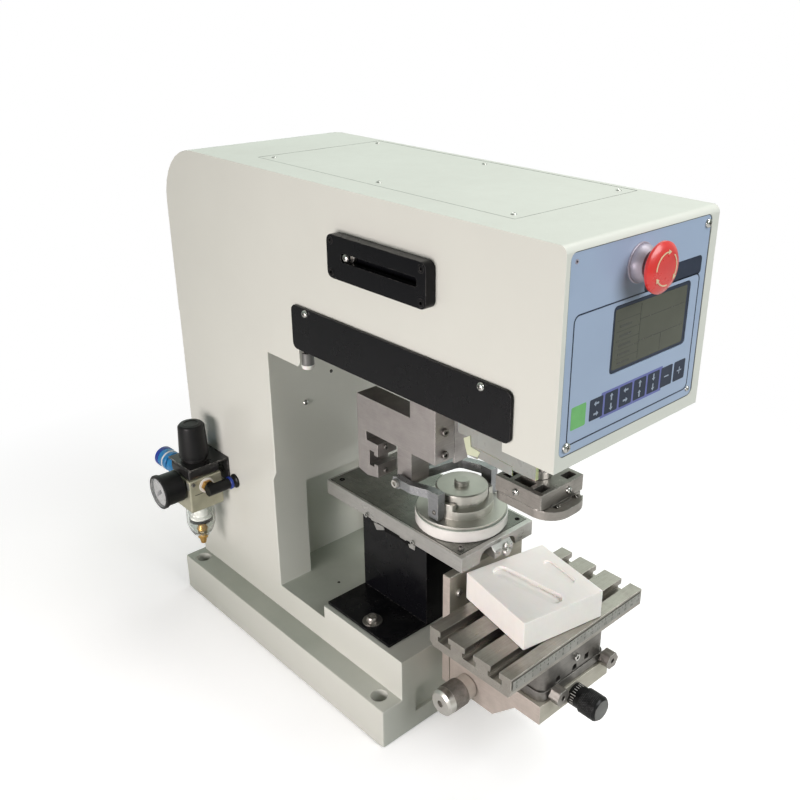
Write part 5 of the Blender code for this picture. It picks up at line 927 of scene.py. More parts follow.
class StudioSettings(PropertyGroup):
    camera_place: FloatVectorProperty(
        name="Camera", description="Place of the camera", subtype="XYZ", unit="LENGTH", size=3,
        default=(-0.5535, -0.6233, 0.6836))
    camera_yaw: FloatProperty(
        name="Yaw", description="Turn of the camera from the back towards the right",
        subtype="ANGLE", default=math.radians(44.62))
    camera_pitch: FloatProperty(
        name="Pitch", description="Tilt of the camera below the horizon", subtype="ANGLE",
        default=math.radians(23.65))
    camera_roll: FloatProperty(
        name="Roll", description="Turn of the camera about its own axis", subtype="ANGLE",
        default=math.radians(0.79))
    camera_lens: FloatProperty(
        name="Lens", description="Focal length on a 36 mm sensor", subtype="DISTANCE_CAMERA",
        default=42.15)
    overhead: FloatProperty(
        name="Overhead lamp", description="Power of the lamp above", unit="POWER", default=44.0)
    side: FloatProperty(
        name="Side lamp", description="Power of the lamp on the left", unit="POWER", default=11.5)
    front: FloatProperty(
        name="Front lamp", description="Power of the lamp high in front", unit="POWER",
        default=24.0)
    fill: FloatProperty(
        name="Fill", description="Strength of the even light all round", default=0.12)
    window: FloatProperty(
        name="Window", description="Brightness of the window seen in reflections", default=1.0)


# ------------------------------------------------------------------- operators

class PRINTER_OT_solids(Operator):
    """Gives every solid its finish, eased edges and smooth shading"""
    bl_idname = "printer.solids"
    bl_label = "Finish the solids"

    def execute(self, context):
        finish_solids()
        fused_shell()
        return {"FINISHED"}


class PRINTER_OT_cover_hardware(Operator):
    """Sets the cover's screws and seam, the edge plug and the column's screw and holes"""
    bl_idname = "printer.cover_hardware"
    bl_label = "Cover screws"

    def execute(self, context):
        diameter = context.scene.printer_hardware.cover_screw
        low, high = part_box("top_cover")
        inset, sunk = 0.0105, 0.0010
        rows = (low.y + inset, (low.y + high.y) / 2, high.y - inset)
        screws("cover_screws", "pan",
               [((x, y, high.z - sunk), UP, diameter)
                for x in (low.x + inset, high.x - inset) for y in rows], "machine")
        middle, size = (low + high) / 2, high - low
        # A dark frame in the seam round the cover paints the shade in the gap.
        gap, corner, depth, proud = 0.00055, 0.001, 0.0008, 0.00003
        bm = bmesh.new()
        band(bm, rounded_box(size.x + 2 * gap, size.y + 2 * gap, corner, 2),
             rounded_box(size.x, size.y, corner, 2), -depth, proud,
             Matrix.Translation((middle.x, middle.y, high.z)))
        piece("cover_seam", bm, "seam_shadow", "machine")

        plug = Matrix.Translation((-0.0835, 0.0475, 0.3457))
        turned_piece("edge_plug_tip",
                     ((0.0, 0.0), (0.0036, 0.0002), (0.0055, 0.0014), (0.0062, 0.0036),
                      (0.0062, 0.0052), (0.0, 0.0052)), plug, 32, "white_acetal", "machine")
        turned_piece("edge_plug_stem",
                     ((0.0, 0.0050), (0.0060, 0.0050), (0.0060, 0.0170), (0.0, 0.0170)),
                     plug, 32, "cap_grey", "machine")

        column, bed_floor = 0.102, 0.075
        screws("column_screw", "pan", [((-0.051, column, 0.283), FORWARD, 0.006)], "machine")
        # Dark countersunk discs paint the shade in two holes.
        screws("bed_holes", "countersunk",
               [((-0.043, 0.0695, bed_floor), UP, 0.0032),
                ((-0.017, column, 0.308), FORWARD, 0.0035)], "machine", "socket_dark")
        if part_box("base_casting")[0].z < -MM:
            raise RuntimeError("the base casting doesn't stand on the floor")
        return {"FINISHED"}


class PRINTER_OT_front_panel(Operator):
    """Prints the control panel: frame, header, display, keys and corner screws"""
    bl_idname = "printer.front_panel"
    bl_label = "Front panel"

    def execute(self, context):
        settings = context.scene.printer_panel
        low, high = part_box("control_panel")
        skin = 0.00012

        def on_panel(x, z):
            return seat((x, low.y, z), FORWARD)

        # Painted shade in the gap between the panel and the head's rim
        wide, tall, gap = high.x - low.x, high.z - low.z, 0.0007
        bm = bmesh.new()
        band(bm, rounded_box(wide + gap, tall + gap, 0.0055, 8),
             rounded_box(wide - gap, tall - gap, 0.0048, 8), -0.0004, 0.0003,
             on_panel((low.x + high.x) / 2, (low.z + high.z) / 2))
        piece("panel_gap", bm, "seam_shadow", "machine")

        # Printed frame line, with the dark header on its upper right
        frame_low, frame_high = Vector((-0.0795, 0.3772)), Vector((0.0750, 0.4760))
        size, middle = frame_high - frame_low, (frame_low + frame_high) / 2
        line, corner = settings.line, 0.006
        bm = bmesh.new()
        band(bm, rounded_box(size.x, size.y, corner, 8),
             rounded_box(size.x - 2 * line, size.y - 2 * line, corner - line, 8),
             -skin, skin, on_panel(middle.x, middle.y))
        header_left, header_height = 0.0005, 0.0150
        header_wide = frame_high.x - header_left
        plate(bm, rounded_box(header_wide, header_height, 0.0035), -skin, skin,
              on_panel(header_left + header_wide / 2, frame_high.y + header_height / 2 - line))
        piece("panel_frame_print", bm, "navy_ink", "machine")

        # Display: olive glass inside the dark window, with faint rows and columns
        glass_low, glass_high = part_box("screen")
        rim_x, rim_z, lift = 0.0020, 0.0026, 0.0002
        wide = glass_high.x - glass_low.x - 3 * rim_x
        tall = glass_high.z - glass_low.z - 2 * rim_z
        centre = (glass_low + glass_high) / 2 - Vector((rim_x / 2, 0, 0))
        plate_piece("display_window", rounded_box(wide, tall, 0.002), -lift, lift,
                    seat((centre.x, glass_low.y, centre.z), FORWARD), "display_glass", "machine",
                    lift / 2)
        bm = bmesh.new()
        stroke = 0.00045
        left, bottom = centre.x - wide / 2, centre.z - tall / 2

        def segment(u0, v0, u1, v1):
            """A segment of the display between two points given in shares of the window."""
            across, upright = max((u1 - u0) * wide, stroke), max((v1 - v0) * tall, stroke)
            x, z = left + (u0 + u1) / 2 * wide, bottom + (v0 + v1) / 2 * tall
            plate(bm, rounded_box(across, upright, stroke * 0.2, 1), 0.0, lift / 2,
                  seat((x, glass_low.y - lift, z), FORWARD))

        column, margin, tab = 0.345, 0.03, 0.16
        segment(column, margin, column, 1 - margin)
        for share in (0.16, 0.31, 0.46, 0.62, 0.80):
            segment(margin, share, column, share)
        for share in (0.33, 0.70):
            segment(column, share, 1 - margin, share)
        segment(0.66, margin, 0.66, 0.33)
        for share in (0.08, 0.23, 0.38, 0.54, 0.70):
            segment(0.07, share - 0.02, 0.07 + tab, share + 0.02)
        piece("display_segments", bm, "display_segments", "machine")

        # Key row: one green key, then dark keys, some on a violet band
        height, row, corner = settings.key_height, 0.3975, 0.0012
        green_left, first, last = -0.0755, -0.0555, 0.0695
        pitch = (last - first) / settings.keys
        wide_key = pitch * 0.88
        band_left, band_right = first + pitch * 0.80, first + pitch * 5.15
        columns = [first + (key + 0.5) * pitch for key in range(settings.keys)]
        plate_piece("key_band_print", rounded_box(band_right - band_left, height * 1.22, 0.0008),
                    -skin, skin * 0.6, on_panel((band_left + band_right) / 2, row),
                    "violet_ink", "machine")
        bm = bmesh.new()
        for x in columns:
            plate(bm, rounded_box(wide_key, height, corner), -skin, skin, on_panel(x, row),
                  skin / 2)
        piece("dark_keys_print", bm, "navy_ink", "machine")
        larger = 1.06
        plate_piece("green_key_print",
                    rounded_box(wide_key * larger, height * larger, corner), -skin, skin,
                    on_panel(green_left + wide_key * larger / 2, row), "green_key", "machine",
                    skin / 2)

        # Generic marks on the keys: paired arrows, a plus and a minus
        length, lift, quarter = 0.0058, skin * 1.6, math.pi / 2
        arrow = [(u * length, v * length) for u, v in (
            (-0.5, -0.13), (0.1, -0.13), (0.1, -0.36), (0.5, 0), (0.1, 0.36), (0.1, 0.13),
            (-0.5, 0.13))]
        turns = ((math.pi, 0), (quarter, -quarter), (math.pi, 0), (quarter, quarter),
                 (-quarter, -quarter))
        bm = bmesh.new()
        for x, pair in zip(columns, turns):
            for side, turn in zip((1, -1), pair):
                place = on_panel(x, row + side * height * 0.24)
                plate(bm, arrow, 0, lift, place @ Matrix.Rotation(turn, 4, "Z"))
        for x, signs in zip(columns[len(turns):], (1, 2)):
            for sign in range(signs):
                place = on_panel(x, row) @ Matrix.Rotation(quarter * sign, 4, "Z")
                plate(bm, rounded_box(0.0060, 0.0010, 0.0002, 1), 0, lift, place)
        piece("key_marks", bm, "pale_ink", "machine")

        diameter, inset = context.scene.printer_hardware.panel_screw, 0.0068
        corners = ((high.x - inset + 0.002, high.z - inset, 1.0),
                   (low.x + inset + 0.001, low.z + inset, 1.1),
                   (high.x - inset, low.z + inset, 0.65))
        screws("panel_screws", "pan",
               [((x, low.y, z), FORWARD, diameter * share) for x, z, share in corners],
               "machine")
        screws("panel_screw_dark", "countersunk",
               [((low.x + inset, low.y, high.z - inset), FORWARD, 0.0036)], "machine",
               "collar_alloy")
        return {"FINISHED"}


class PRINTER_OT_stop_button(Operator):
    """Puts the three turning arrows on the emergency button and a seat ring under its collar"""
    bl_idname = "printer.stop_button"
    bl_label = "Emergency button"

    def execute(self, context):
        centre = middle_of("estop_head")
        face = seat((centre.x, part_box("estop_head")[0].y, centre.z), FORWARD)
        radius, half, lift, steps = 0.0120, 0.00045, 0.00018, 12
        section = ((radius - half, -lift), (radius + half, -lift), (radius + half, lift),
                   (radius - half, lift))
        head = [(-0.0003, -0.0018), (0.0032, 0), (-0.0003, 0.0018)]
        bm = bmesh.new()
        for start, reach in ((180, 94), (48, 80), (-82, 60)):
            begin, sweep = math.radians(start), math.radians(reach)
            angles = [begin - sweep * step / steps for step in range(steps + 1)]
            loops(bm, [[(r * math.cos(angle), r * math.sin(angle), z) for r, z in section]
                       for angle in angles], face)
            end = angles[-1]
            tip = Matrix.Translation((radius * math.cos(end), radius * math.sin(end), 0))
            tip = tip @ Matrix.Rotation(end - math.pi / 2, 4, "Z")
            plate(bm, head, -lift, lift, face @ tip)
        piece("stop_arrows", bm, "arrow_cream", "estop_button")
        inner, outer, tall = 0.0142, 0.0152, 0.0013
        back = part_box("estop_collar")[1].y + 0.0003
        ring_piece("collar_seat",
                   ((outer, 0.0), (outer, 0.0009), (outer - 0.0004, tall), (inner, tall),
                    (inner, 0.0)), 48, seat((centre.x, back, centre.z), FORWARD),
                   "collar_alloy", "machine")
        return {"FINISHED"}


class PRINTER_OT_side_plates(Operator):
    """Sets the screws of the black guard and slotted plates, and the slider in the slot"""
    bl_idname = "printer.side_plates"
    bl_label = "Side plates"

    def execute(self, context):
        diameter = context.scene.printer_hardware.plate_screw
        low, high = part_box("guard_plate")
        drop, from_rear, from_front = 0.0045, 0.022, 0.030
        screws("guard_screws", "pan",
               [((low.x, y, high.z - drop), LEFT, diameter)
                for y in (high.y - from_rear, low.y + from_front)], "machine")
        low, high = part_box("slot_plate")
        inset = 0.0052
        screws("slot_plate_screws", "countersunk",
               [((low.x, y, z), LEFT, diameter) for y in (low.y + inset, high.y - inset)
                for z in (low.z + inset, high.z - inset)], "machine", "black_satin")
        pin, skin = middle_of("stop_pin"), 0.00015
        plate_piece("slot_backing", rounded_box(0.098, 0.0150, 0.003), -skin, 0.00008,
                    seat((high.x + skin, (low.y + high.y) / 2 - 0.0035, pin.z), LEFT),
                    "black_satin", "machine")
        plate_piece("stop_slider", rounded_box(0.0074, 0.0062, 0.0012), 0.0, 0.0016,
                    seat((-0.0985, pin.y, pin.z), LEFT), "black_plastic", "stop_pin", 0.0004)
        turned_piece("stop_pin_cap",
                     ((0.0031, 0.0), (0.0031, 0.0005), (0.0024, 0.0011), (0.0015, 0.0012, "hex"),
                      (0.0014, 0.0003, "hex"), (0.0, 0.0002)),
                     seat((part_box("stop_pin")[0].x, pin.y, pin.z), LEFT), 24, "plated_steel",
                     "stop_pin")
        return {"FINISHED"}


# Outlines as (Y, Z) points: the cylinder guard's pale flange and its lower skirt.
GUARD_FLANGE = ((-0.1023, 0.3096), (-0.1102, 0.3147), (-0.1113, 0.3043), (-0.1229, 0.3032),
                (-0.1200, 0.2971), (-0.1069, 0.2951), (-0.1051, 0.3007))
GUARD_SKIRT = ((-0.1103, 0.3045), (-0.1222, 0.3051), (-0.1601, 0.3033), (-0.1605, 0.2948),
               (-0.1382, 0.2956), (-0.1163, 0.2964))


class PRINTER_OT_carriage(Operator):
    """Sets the screws and plates of the carriage block, the guard, the pad head and the fork"""
    bl_idname = "printer.carriage"
    bl_label = "Carriage"

    def execute(self, context):
        front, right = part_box("carriage_block")[0].y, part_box("carriage_block")[1].x
        lip = -0.0105
        spots = [((-0.0390, front, z), FORWARD, 0.0075) for z in (0.3150, 0.2925)]
        spots += [((-0.0405, lip, z), FORWARD, 0.0050) for z in (0.2710, 0.2460)]
        screws("block_screws", "socket", spots, "carriage", "dark_steel")
        backing = front + 0.0035
        plate_piece("block_backing", rounded_box(0.0170, 0.0560, 0.0008, 2), -0.0020, 0.0,
                    seat((right, backing, 0.3040), FORWARD), "milled_aluminium", "carriage",
                    0.0003)
        screws("backing_screw", "socket", [((right + 0.0030, backing, 0.3060), FORWARD, 0.0058)],
               "carriage", "dark_steel")

        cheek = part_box("cylinder_cheek")[0].x
        slab_piece("guard_flange", (GUARD_FLANGE,), cheek - 0.0010, cheek + 0.0002,
                   "guard_plastic", "carriage")
        slab_piece("guard_skirt", (GUARD_SKIRT,), cheek - 0.0004, cheek + 0.0010,
                   "cheek_plastic", "carriage")

        holder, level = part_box("pad_holder")[0], middle_of("pad_holder").z
        screws("holder_screws", "pan",
               [((holder.x, -0.1670, level), LEFT, 0.0068),
                ((0.0080, holder.y, level), FORWARD, 0.0068)], "pad_head")
        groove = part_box("pad_plate")[1].z - 0.0028
        screws("plate_screws", "socket",
               [((x, holder.y - 0.0027, groove), UP, 0.0052) for x in (-0.0075, 0.0180)],
               "pad_head")

        shaft = middle_of("fork_shaft")
        screws("fork_screw", "socket",
               [((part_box("fork_shaft")[0].x + 0.0008, shaft.y, shaft.z), LEFT, 0.0085)],
               "cup_fork", "turned_steel")
        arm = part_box("fork_arm_left")[0]
        screws("arm_screw", "button",
               [((arm.x + 0.0062, arm.y + 0.0051, arm.z + 0.0073), LEFT, 0.0046)], "cup_fork",
               "dark_steel")
        return {"FINISHED"}


# Outlines as (Y, Z) points: the slide's two corners and the painted shade of the gap between them.
SLIDE_CORNERS = (((0.0120, 0.1755), (-0.0030, 0.1778), (-0.0044, 0.1741), (0.0075, 0.1690)),
                 ((-0.0407, 0.1750), (-0.0505, 0.1772), (-0.0495, 0.1719), (-0.0421, 0.1716)))
SLIDE_SHADE = ((-0.0034, 0.1781), (-0.0412, 0.1783), (-0.0411, 0.1715), (-0.0306, 0.1740),
               (-0.0050, 0.1725))


class PRINTER_OT_tray(Operator):
    """Sets the screws, holes and clamp leaves of the tray and the slide's corners below it"""
    bl_idname = "printer.tray"
    bl_label = "Cliche tray"

    def execute(self, context):
        side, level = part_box("cliche_tray")[0].x, 0.1895
        screws("tray_side_screws", "socket",
               [((side, y, level), LEFT, 0.0050) for y in (0.0104, -0.0583)], "machine")
        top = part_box("cliche_plate")[1].z
        # Dark countersunk discs paint the shade in two holes of the plate.
        screws("cliche_holes", "countersunk",
               [((-0.0370, 0.0640, top), UP, 0.0056), ((0.0385, -0.1125, top), UP, 0.0050)],
               "machine", "socket_dark")
        screws("cliche_screw", "socket", [((-0.0375, -0.1120, top), UP, 0.0058)], "machine",
               "dark_steel")

        bar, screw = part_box("clamp_bar")[0], middle_of("clamp_screw")
        centre = seat((screw.x, bar.y, screw.z), FORWARD)
        leaf = ((0.0, 0.0), (0.55, -0.30), (1.0, -0.12), (0.92, 0.20), (0.45, 0.26))
        bm = bmesh.new()
        for angle, length in ((168, 0.0105), (62, 0.0088), (-20, 0.0100)):
            turn = Matrix.Rotation(math.radians(angle), 4, "Z")
            plate(bm, [(u * length, v * length) for u, v in leaf], -0.0003, 0.0026,
                  centre @ turn, 0.0018)
        piece("clamp_leaves", bm, "tray_aluminium", "machine")
        # A near black sheet on the notch's back wall paints the shade in the notch.
        shade_left, shade_right, notch_wall = -0.0258, bar.x - 0.0002, -0.1121
        plate_piece("notch_shade", rounded_box(shade_right - shade_left, 0.0130, 0.003),
                    -0.0002, 0.0001,
                    seat(((shade_left + shade_right) / 2, notch_wall, level), FORWARD),
                    "socket_dark", "machine")

        pedestal, skin = -0.0380, 0.0002
        slab_piece("slide_corners", SLIDE_CORNERS, pedestal - 0.0007, pedestal + skin,
                   "tray_aluminium", "machine")
        # A near black sheet paints the shade in the gap between the slide's corners.
        slab_piece("slide_shade", (SLIDE_SHADE,), pedestal - skin, pedestal + skin,
                   "socket_dark", "machine")
        return {"FINISHED"}


class PRINTER_OT_ink_cup(Operator):
    """Adds the seal of the closed ink cup"""
    bl_idname = "printer.ink_cup"
    bl_label = "Ink cup"

    def execute(self, context):
        centre = middle_of("ink_ring")
        radius, thick, level = 0.0438, 0.0007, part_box("ink_ring")[1].z + 0.0001
        turns = [math.tau * step / 8 for step in range(8)]
        ring_piece("cup_seal",
                   [(radius + thick * math.cos(turn), level + thick * math.sin(turn))
                    for turn in turns], 72, Matrix.Translation((centre.x, centre.y, 0)),
                   "seal_rubber", "cup_fork")
        return {"FINISHED"}


class PRINTER_OT_lift_table(Operator):
    """Cuts the scale, the knurls and the screws of the lifting table"""
    bl_idname = "printer.lift_table"
    bl_label = "Lift table"

    def execute(self, context):
        point = context.scene.printer_hardware.knurl_point
        low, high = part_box("scale_strip")
        count, spacing = 35, 0.0050
        start = -(count - 1) / 2 * spacing
        grown("scale_ticks", ruler_tree(),
              {"Count": count, "Long every": 2, "Spacing": spacing,
               "Size": (0.0005, 0.0018, 0.0001), "Long size": (0.0006, 0.0030, 0.0001)},
              "dial_black", "table", seat((start, low.y, high.z - 0.0019), FORWARD))
        numerals = [(str(number), seat((start + number * 2 * spacing, low.y, low.z + 0.0028),
                                       FORWARD)) for number in range(18)]
        lettering("scale_numerals", numerals, 0.0042, "dial_black", "table")
        saddle_level, plate_level, plate_reach = 0.1245, 0.155, 0.038
        screws("saddle_screw", "socket",
               [((0.001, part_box("saddle")[0].y, saddle_level), FORWARD, 0.0072)], "cross")
        screws("lift_plate_screws", "socket",
               [((x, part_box("lift_plate")[0].y, plate_level), FORWARD, 0.0075)
                for x in (-plate_reach, plate_reach)], "lift", "turned_steel")

        low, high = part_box("lift_knob")
        axis, radius = (low + high) / 2, (high.z - low.z) / 2
        grown("lift_knob_knurl", knurl_tree(),
              {"Radius": radius, "Length": 0.0150, "Around": 76, "Rows": 15,
               "Point": point * 0.8, "Height": 0.00040}, "knurled_steel", "lift_knob",
              seat((low.x + 0.0095, axis.y, axis.z), RIGHT))
        skin, length = 0.00008, 0.0165
        turned_piece("lift_knob_band",
                     ((0.0, 0.0), (radius, 0.0), (radius + skin, skin),
                      (radius + skin, length - 0.0001), (radius, length), (0.0, length)),
                     seat((low.x + 0.0088, axis.y, axis.z), RIGHT), 48, "knurled_steel",
                     "lift_knob")

        low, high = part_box("cross_knob")
        axis, radius = (low + high) / 2, (high.x - low.x) / 2
        grown("cross_knob_knurl", knurl_tree(),
              {"Radius": radius, "Length": 0.0150, "Around": 46, "Rows": 12,
               "Point": point * 0.9, "Height": 0.00030}, "black_plastic", "cross_knob",
              seat((axis.x, low.y + 0.0030, axis.z), BACK))
        grown("cross_knob_scale", dial_tree(),
              {"Count": 26, "Long every": 5, "Radius": 0.01052,
               "Size": (0.0002, 0.0005, 0.0034), "Long size": (0.0002, 0.0006, 0.0056)},
              "tick_white", "cross_knob", seat((axis.x, high.y - 0.0048, axis.z), FORWARD))
        turned_piece("cross_knob_cap",
                     ((0.0097, 0.0), (0.0097, 0.0003), (0.0092, 0.0006), (0.0, 0.0006)),
                     seat((axis.x, low.y, axis.z), FORWARD), 40, "cap_grey", "cross_knob")
        return {"FINISHED"}


class PRINTER_OT_regulator(Operator):
    """Adds the gauge's dial, the fittings' rings and the small screws of the air regulator"""
    bl_idname = "printer.regulator"
    bl_label = "Air regulator"

    def execute(self, context):
        axis = middle_of("gauge_case")
        face = seat((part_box("gauge_pointer")[1].x + 0.0002, axis.y, axis.z), LEFT)
        turned_piece("gauge_dial",
                     ((0.0160, -0.0004), (0.0160, 0.0), (0.0158, 0.0001), (0.0, 0.0001)),
                     face, 48, "dial_grey", "machine")
        sweep, begin = math.radians(-270), math.radians(225)
        grown("gauge_ticks", dial_tree(),
              {"Count": 41, "Long every": 4, "Radius": 0.0142, "Sweep": sweep, "Start": begin,
               "Size": (0.0014, 0.0002, 0.0004), "Long size": (0.0024, 0.0004, 0.0004)},
              "dial_black", "machine", face)
        marks, radius = [], 0.0104
        for step in range(6):
            angle = begin + sweep * step / 5
            at = Matrix.Translation((radius * math.cos(angle), radius * math.sin(angle), 0.0002))
            marks.append((str(step * 2), face @ at))
        lettering("gauge_numerals", marks, 0.0036, "dial_black", "machine")

        nipple, nipple_back = middle_of("outlet_nipple"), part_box("outlet_nipple")[1].y
        turned_piece("nipple_washer",
                     ((0.0086, 0.0), (0.0086, 0.0009), (0.0078, 0.0012), (0.0, 0.0012)),
                     seat((nipple.x, nipple_back + 0.0002, nipple.z), FORWARD), 40,
                     "filter_felt", "machine")
        low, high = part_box("coupler_sleeve")
        axis, radius = (low + high) / 2, (high.x - low.x) / 2
        for name, start, length, grow, material in (
                ("coupler_end_ring", high.y - 0.0075, 0.0070, 0.00035, "sleeve_blue"),
                ("coupler_white_ring", low.y + 0.0055, 0.0030, 0.00030, "dial_white")):
            inner, outer = radius - 0.001, radius + grow
            ring_piece(name, ((inner, 0.0), (outer, 0.0004), (outer, length - 0.0004),
                              (inner, length)), 40,
                       seat((axis.x, start, axis.z), BACK), material, "coupler_sleeve")

        axis, bowl = middle_of("filter_bowl"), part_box("filter_bowl")[0].z
        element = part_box("filter_element")[0].z
        turned_piece("filter_baffle",
                     ((0.0, -0.0075), (0.0040, -0.0070), (0.0125, -0.0024), (0.0128, 0.0),
                      (0.0128, 0.0007), (0.0, 0.0007)),
                     Matrix.Translation((axis.x, axis.y, element - 0.0010)), 36,
                     "black_plastic", "machine")
        turned_piece("drain_stem",
                     ((0.0, 0.0), (0.0058, 0.0), (0.0062, 0.0012), (0.0040, 0.0060),
                      (0.0040, 0.0085), (0.0018, 0.0110), (0.0, 0.0110)),
                     Matrix.Translation((axis.x, axis.y, bowl + 0.0045)), 32, "brass",
                     "machine")

        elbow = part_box("outlet_elbow")[0].y
        turned_piece("elbow_ring",
                     ((0.0066, 0.0), (0.0070, 0.0004), (0.0070, 0.0026), (0.0066, 0.0030),
                      (0.0, 0.0030)),
                     seat((-0.1010, elbow + 0.0079, nipple.z), RIGHT), 40,
                     "sleeve_blue", "machine")
        if middle_of("outlet_elbow").y > nipple.y:
            raise RuntimeError("the elbow stands behind its nipple")

        low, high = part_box("regulator_body")
        inset, skin = 0.0045, 0.0002
        screws("body_screws", "socket",
               [((low.x + inset, low.y, high.z - inset), FORWARD, 0.0042)], "machine",
               "dark_steel")
        plate_piece("body_sight", rounded_box(0.0060, 0.0085, 0.0012), -skin, 0.0004,
                    seat((low.x, low.y + 0.0040, 0.1775), LEFT), "seam_shadow", "machine", skin)
        plate_piece("body_line", rounded_box(0.0125, 0.0008, 0.0002, 1), -skin, 0.0001,
                    seat((-0.1285, low.y, 0.1660), FORWARD), "dial_black", "machine")
        return {"FINISHED"}


WINDOW_AIM = (0.66, 0.66, 0.36)
CAMERA_SHIFT = (-0.0679, -0.0169)
FLOOR_FADE = (0.42, 0.85)
FLOOR_LIFT = 0.28


def seen_rays(tree):
    """One for rays that show a surface directly or through glass, and one for reflections."""
    light = add(tree, "ShaderNodeLightPath").outputs
    direct = maths(tree, "MAXIMUM", light["Is Camera Ray"], light["Is Transmission Ray"])
    return direct, light["Is Glossy Ray"]


def floor_material():
    """White where it is seen, fading to a plain white glow away from the machine, and darker
    in reflections and in the light that it throws back."""
    material = bpy.data.materials.new("floor_white")
    material.use_nodes = True
    tree = material.node_tree
    shader = tree.nodes["Principled BSDF"]
    direct, mirrored = seen_rays(tree)
    place = add(tree, "ShaderNodeTexCoord").outputs["Object"]
    away = add(tree, "ShaderNodeVectorMath", {0: place}, operation="LENGTH").outputs["Value"]
    far = ramp(tree, away, *FLOOR_FADE)
    thrown = blend_colour(tree, mirrored, (0.24, 0.27, 0.24, 1), (0.86, 0.86, 0.84, 1))
    lit = blend_colour(tree, direct, thrown, (0.95, 0.95, 0.95, 1))
    dimmed = blend_colour(tree, maths(tree, "MULTIPLY", far, direct), lit, (0, 0, 0, 1))
    tree.links.new(dimmed, shader.inputs["Base Color"])
    level = maths(tree, "MULTIPLY", direct, ramp(tree, far, 0.0, 1.0, FLOOR_LIFT, 1.0))
    glow = blend_colour(tree, level, (0, 0, 0, 1), (1, 1, 1, 1))
    tree.links.new(glow, shader.inputs["Emission Color"])
    shader.inputs["Emission Strength"].default_value = 1.0
    shader.inputs["Roughness"].default_value = 0.9
    shader.inputs["Specular IOR Level"].default_value = 0.0
    return material


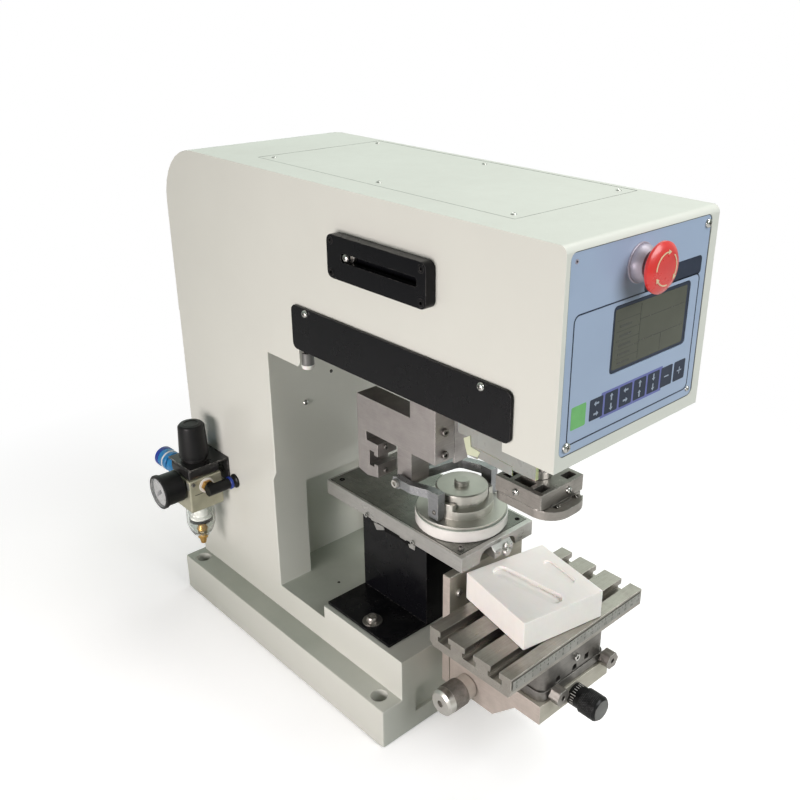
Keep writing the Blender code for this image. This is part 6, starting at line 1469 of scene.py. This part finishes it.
class PRINTER_OT_studio(Operator):
    """Lays the floor, hangs the lamps and sets the camera"""
    bl_idname = "printer.studio"
    bl_label = "Studio"

    def execute(self, context):
        settings = context.scene.printer_studio
        scene = context.scene
        scene.view_settings.view_transform = "Standard"

        floor = bpy.data.meshes.new("floor")
        reach = 4.0
        floor.from_pydata([(-reach, -reach, 0), (reach, -reach, 0), (reach, reach, 0),
                           (-reach, reach, 0)], [], [(0, 1, 2, 3)])
        ground = linked("floor", floor)
        ground.location.z = -0.0002
        floor.materials.append(floor_material())

        world = bpy.data.worlds.new("studio")
        scene.world = world
        world.use_nodes = True
        tree = world.node_tree
        direct, mirrored = seen_rays(tree)
        sky = tree.nodes["Background"]
        tinted = blend_colour(tree, direct, (0.88, 1.0, 0.90, 1), (1, 1, 1, 1))
        tree.links.new(tinted, sky.inputs["Color"])
        aim = add(tree, "ShaderNodeTexCoord").outputs["Generated"]
        towards = vector_maths(tree, "DOT_PRODUCT", aim, WINDOW_AIM)
        bright = ramp(tree, towards, 0.35, 0.95, 0.36, settings.window)
        shown = maths(tree, "MAXIMUM", direct, maths(tree, "MULTIPLY", mirrored, bright))
        strength = ramp(tree, shown, 0.0, 1.0, settings.fill, 1.0)
        tree.links.new(strength, sky.inputs["Strength"])

        lamps = (("overhead_lamp", settings.overhead, (1.20, -0.10, 2.90), (1.8, 1.8),
                  (1.0, 0.995, 0.965)),
                 ("side_lamp", settings.side, (-1.15, -0.15, 0.36), (0.65, 0.45),
                  (1.0, 0.925, 0.925)),
                 ("front_lamp", settings.front, (0.30, -1.60, 1.35), (1.2, 0.8),
                  (0.97, 0.985, 1.0)))
        lamp_aim = Vector((0, 0, 0.25))
        for name, power, place, size, colour in lamps:
            data = bpy.data.lights.new(name, "AREA")
            data.shape = "RECTANGLE"
            data.size, data.size_y = size
            data.energy = power
            data.color = colour
            lamp = linked(name, data)
            lamp.location = place
            lamp.rotation_euler = (lamp_aim - Vector(place)).to_track_quat("-Z", "Y").to_euler()

        yaw, pitch, roll = settings.camera_yaw, settings.camera_pitch, settings.camera_roll
        ahead = Vector((math.sin(yaw) * math.cos(pitch), math.cos(yaw) * math.cos(pitch),
                        -math.sin(pitch)))
        level = Vector((math.cos(yaw), -math.sin(yaw), 0))
        upright = level.cross(ahead)
        right = level * math.cos(roll) + upright * math.sin(roll)
        top = upright * math.cos(roll) - level * math.sin(roll)
        camera_data = bpy.data.cameras.new("camera")
        camera_data.lens = settings.camera_lens
        camera_data.shift_x, camera_data.shift_y = CAMERA_SHIFT
        camera = linked("camera", camera_data)
        turn = Matrix((right, top, -ahead)).transposed()
        camera.matrix_world = Matrix.Translation(settings.camera_place) @ turn.to_4x4()
        scene.camera = camera
        return {"FINISHED"}


# ------------------------------------------------------------- panel and start

OPERATORS = (PRINTER_OT_studio, PRINTER_OT_solids, PRINTER_OT_cover_hardware,
             PRINTER_OT_front_panel, PRINTER_OT_stop_button, PRINTER_OT_side_plates,
             PRINTER_OT_carriage, PRINTER_OT_tray, PRINTER_OT_ink_cup, PRINTER_OT_lift_table,
             PRINTER_OT_regulator)
SETTINGS = {"printer_paint": PaintSettings, "printer_panel": FrontPanelSettings,
            "printer_hardware": HardwareSettings, "printer_studio": StudioSettings}


class PRINTER_PT_pieces(Panel):
    """Lists the settings and the pieces of the pad printing machine"""
    bl_idname = "PRINTER_PT_pieces"
    bl_label = "Pad printing machine"
    bl_space_type = "VIEW_3D"
    bl_region_type = "UI"
    bl_category = "Pad printer"

    def draw(self, context):
        layout = self.layout
        for name, settings in SETTINGS.items():
            box = layout.box()
            held = getattr(context.scene, name)
            for field in settings.__annotations__:
                box.prop(held, field)
        for operator in OPERATORS:
            layout.operator(operator.bl_idname)


def register():
    for cls in (*SETTINGS.values(), *OPERATORS, PRINTER_PT_pieces):
        bpy.utils.register_class(cls)
    for name, settings in SETTINGS.items():
        setattr(bpy.types.Scene, name, PointerProperty(type=settings))


def unregister():
    for name in SETTINGS:
        delattr(bpy.types.Scene, name)
    for cls in reversed((*SETTINGS.values(), *OPERATORS, PRINTER_PT_pieces)):
        bpy.utils.unregister_class(cls)


def main():
    register()
    for operator in OPERATORS:
        group, name = operator.bl_idname.split(".")
        getattr(getattr(bpy.ops, group), name)()


if __name__ == "__main__":
    main()
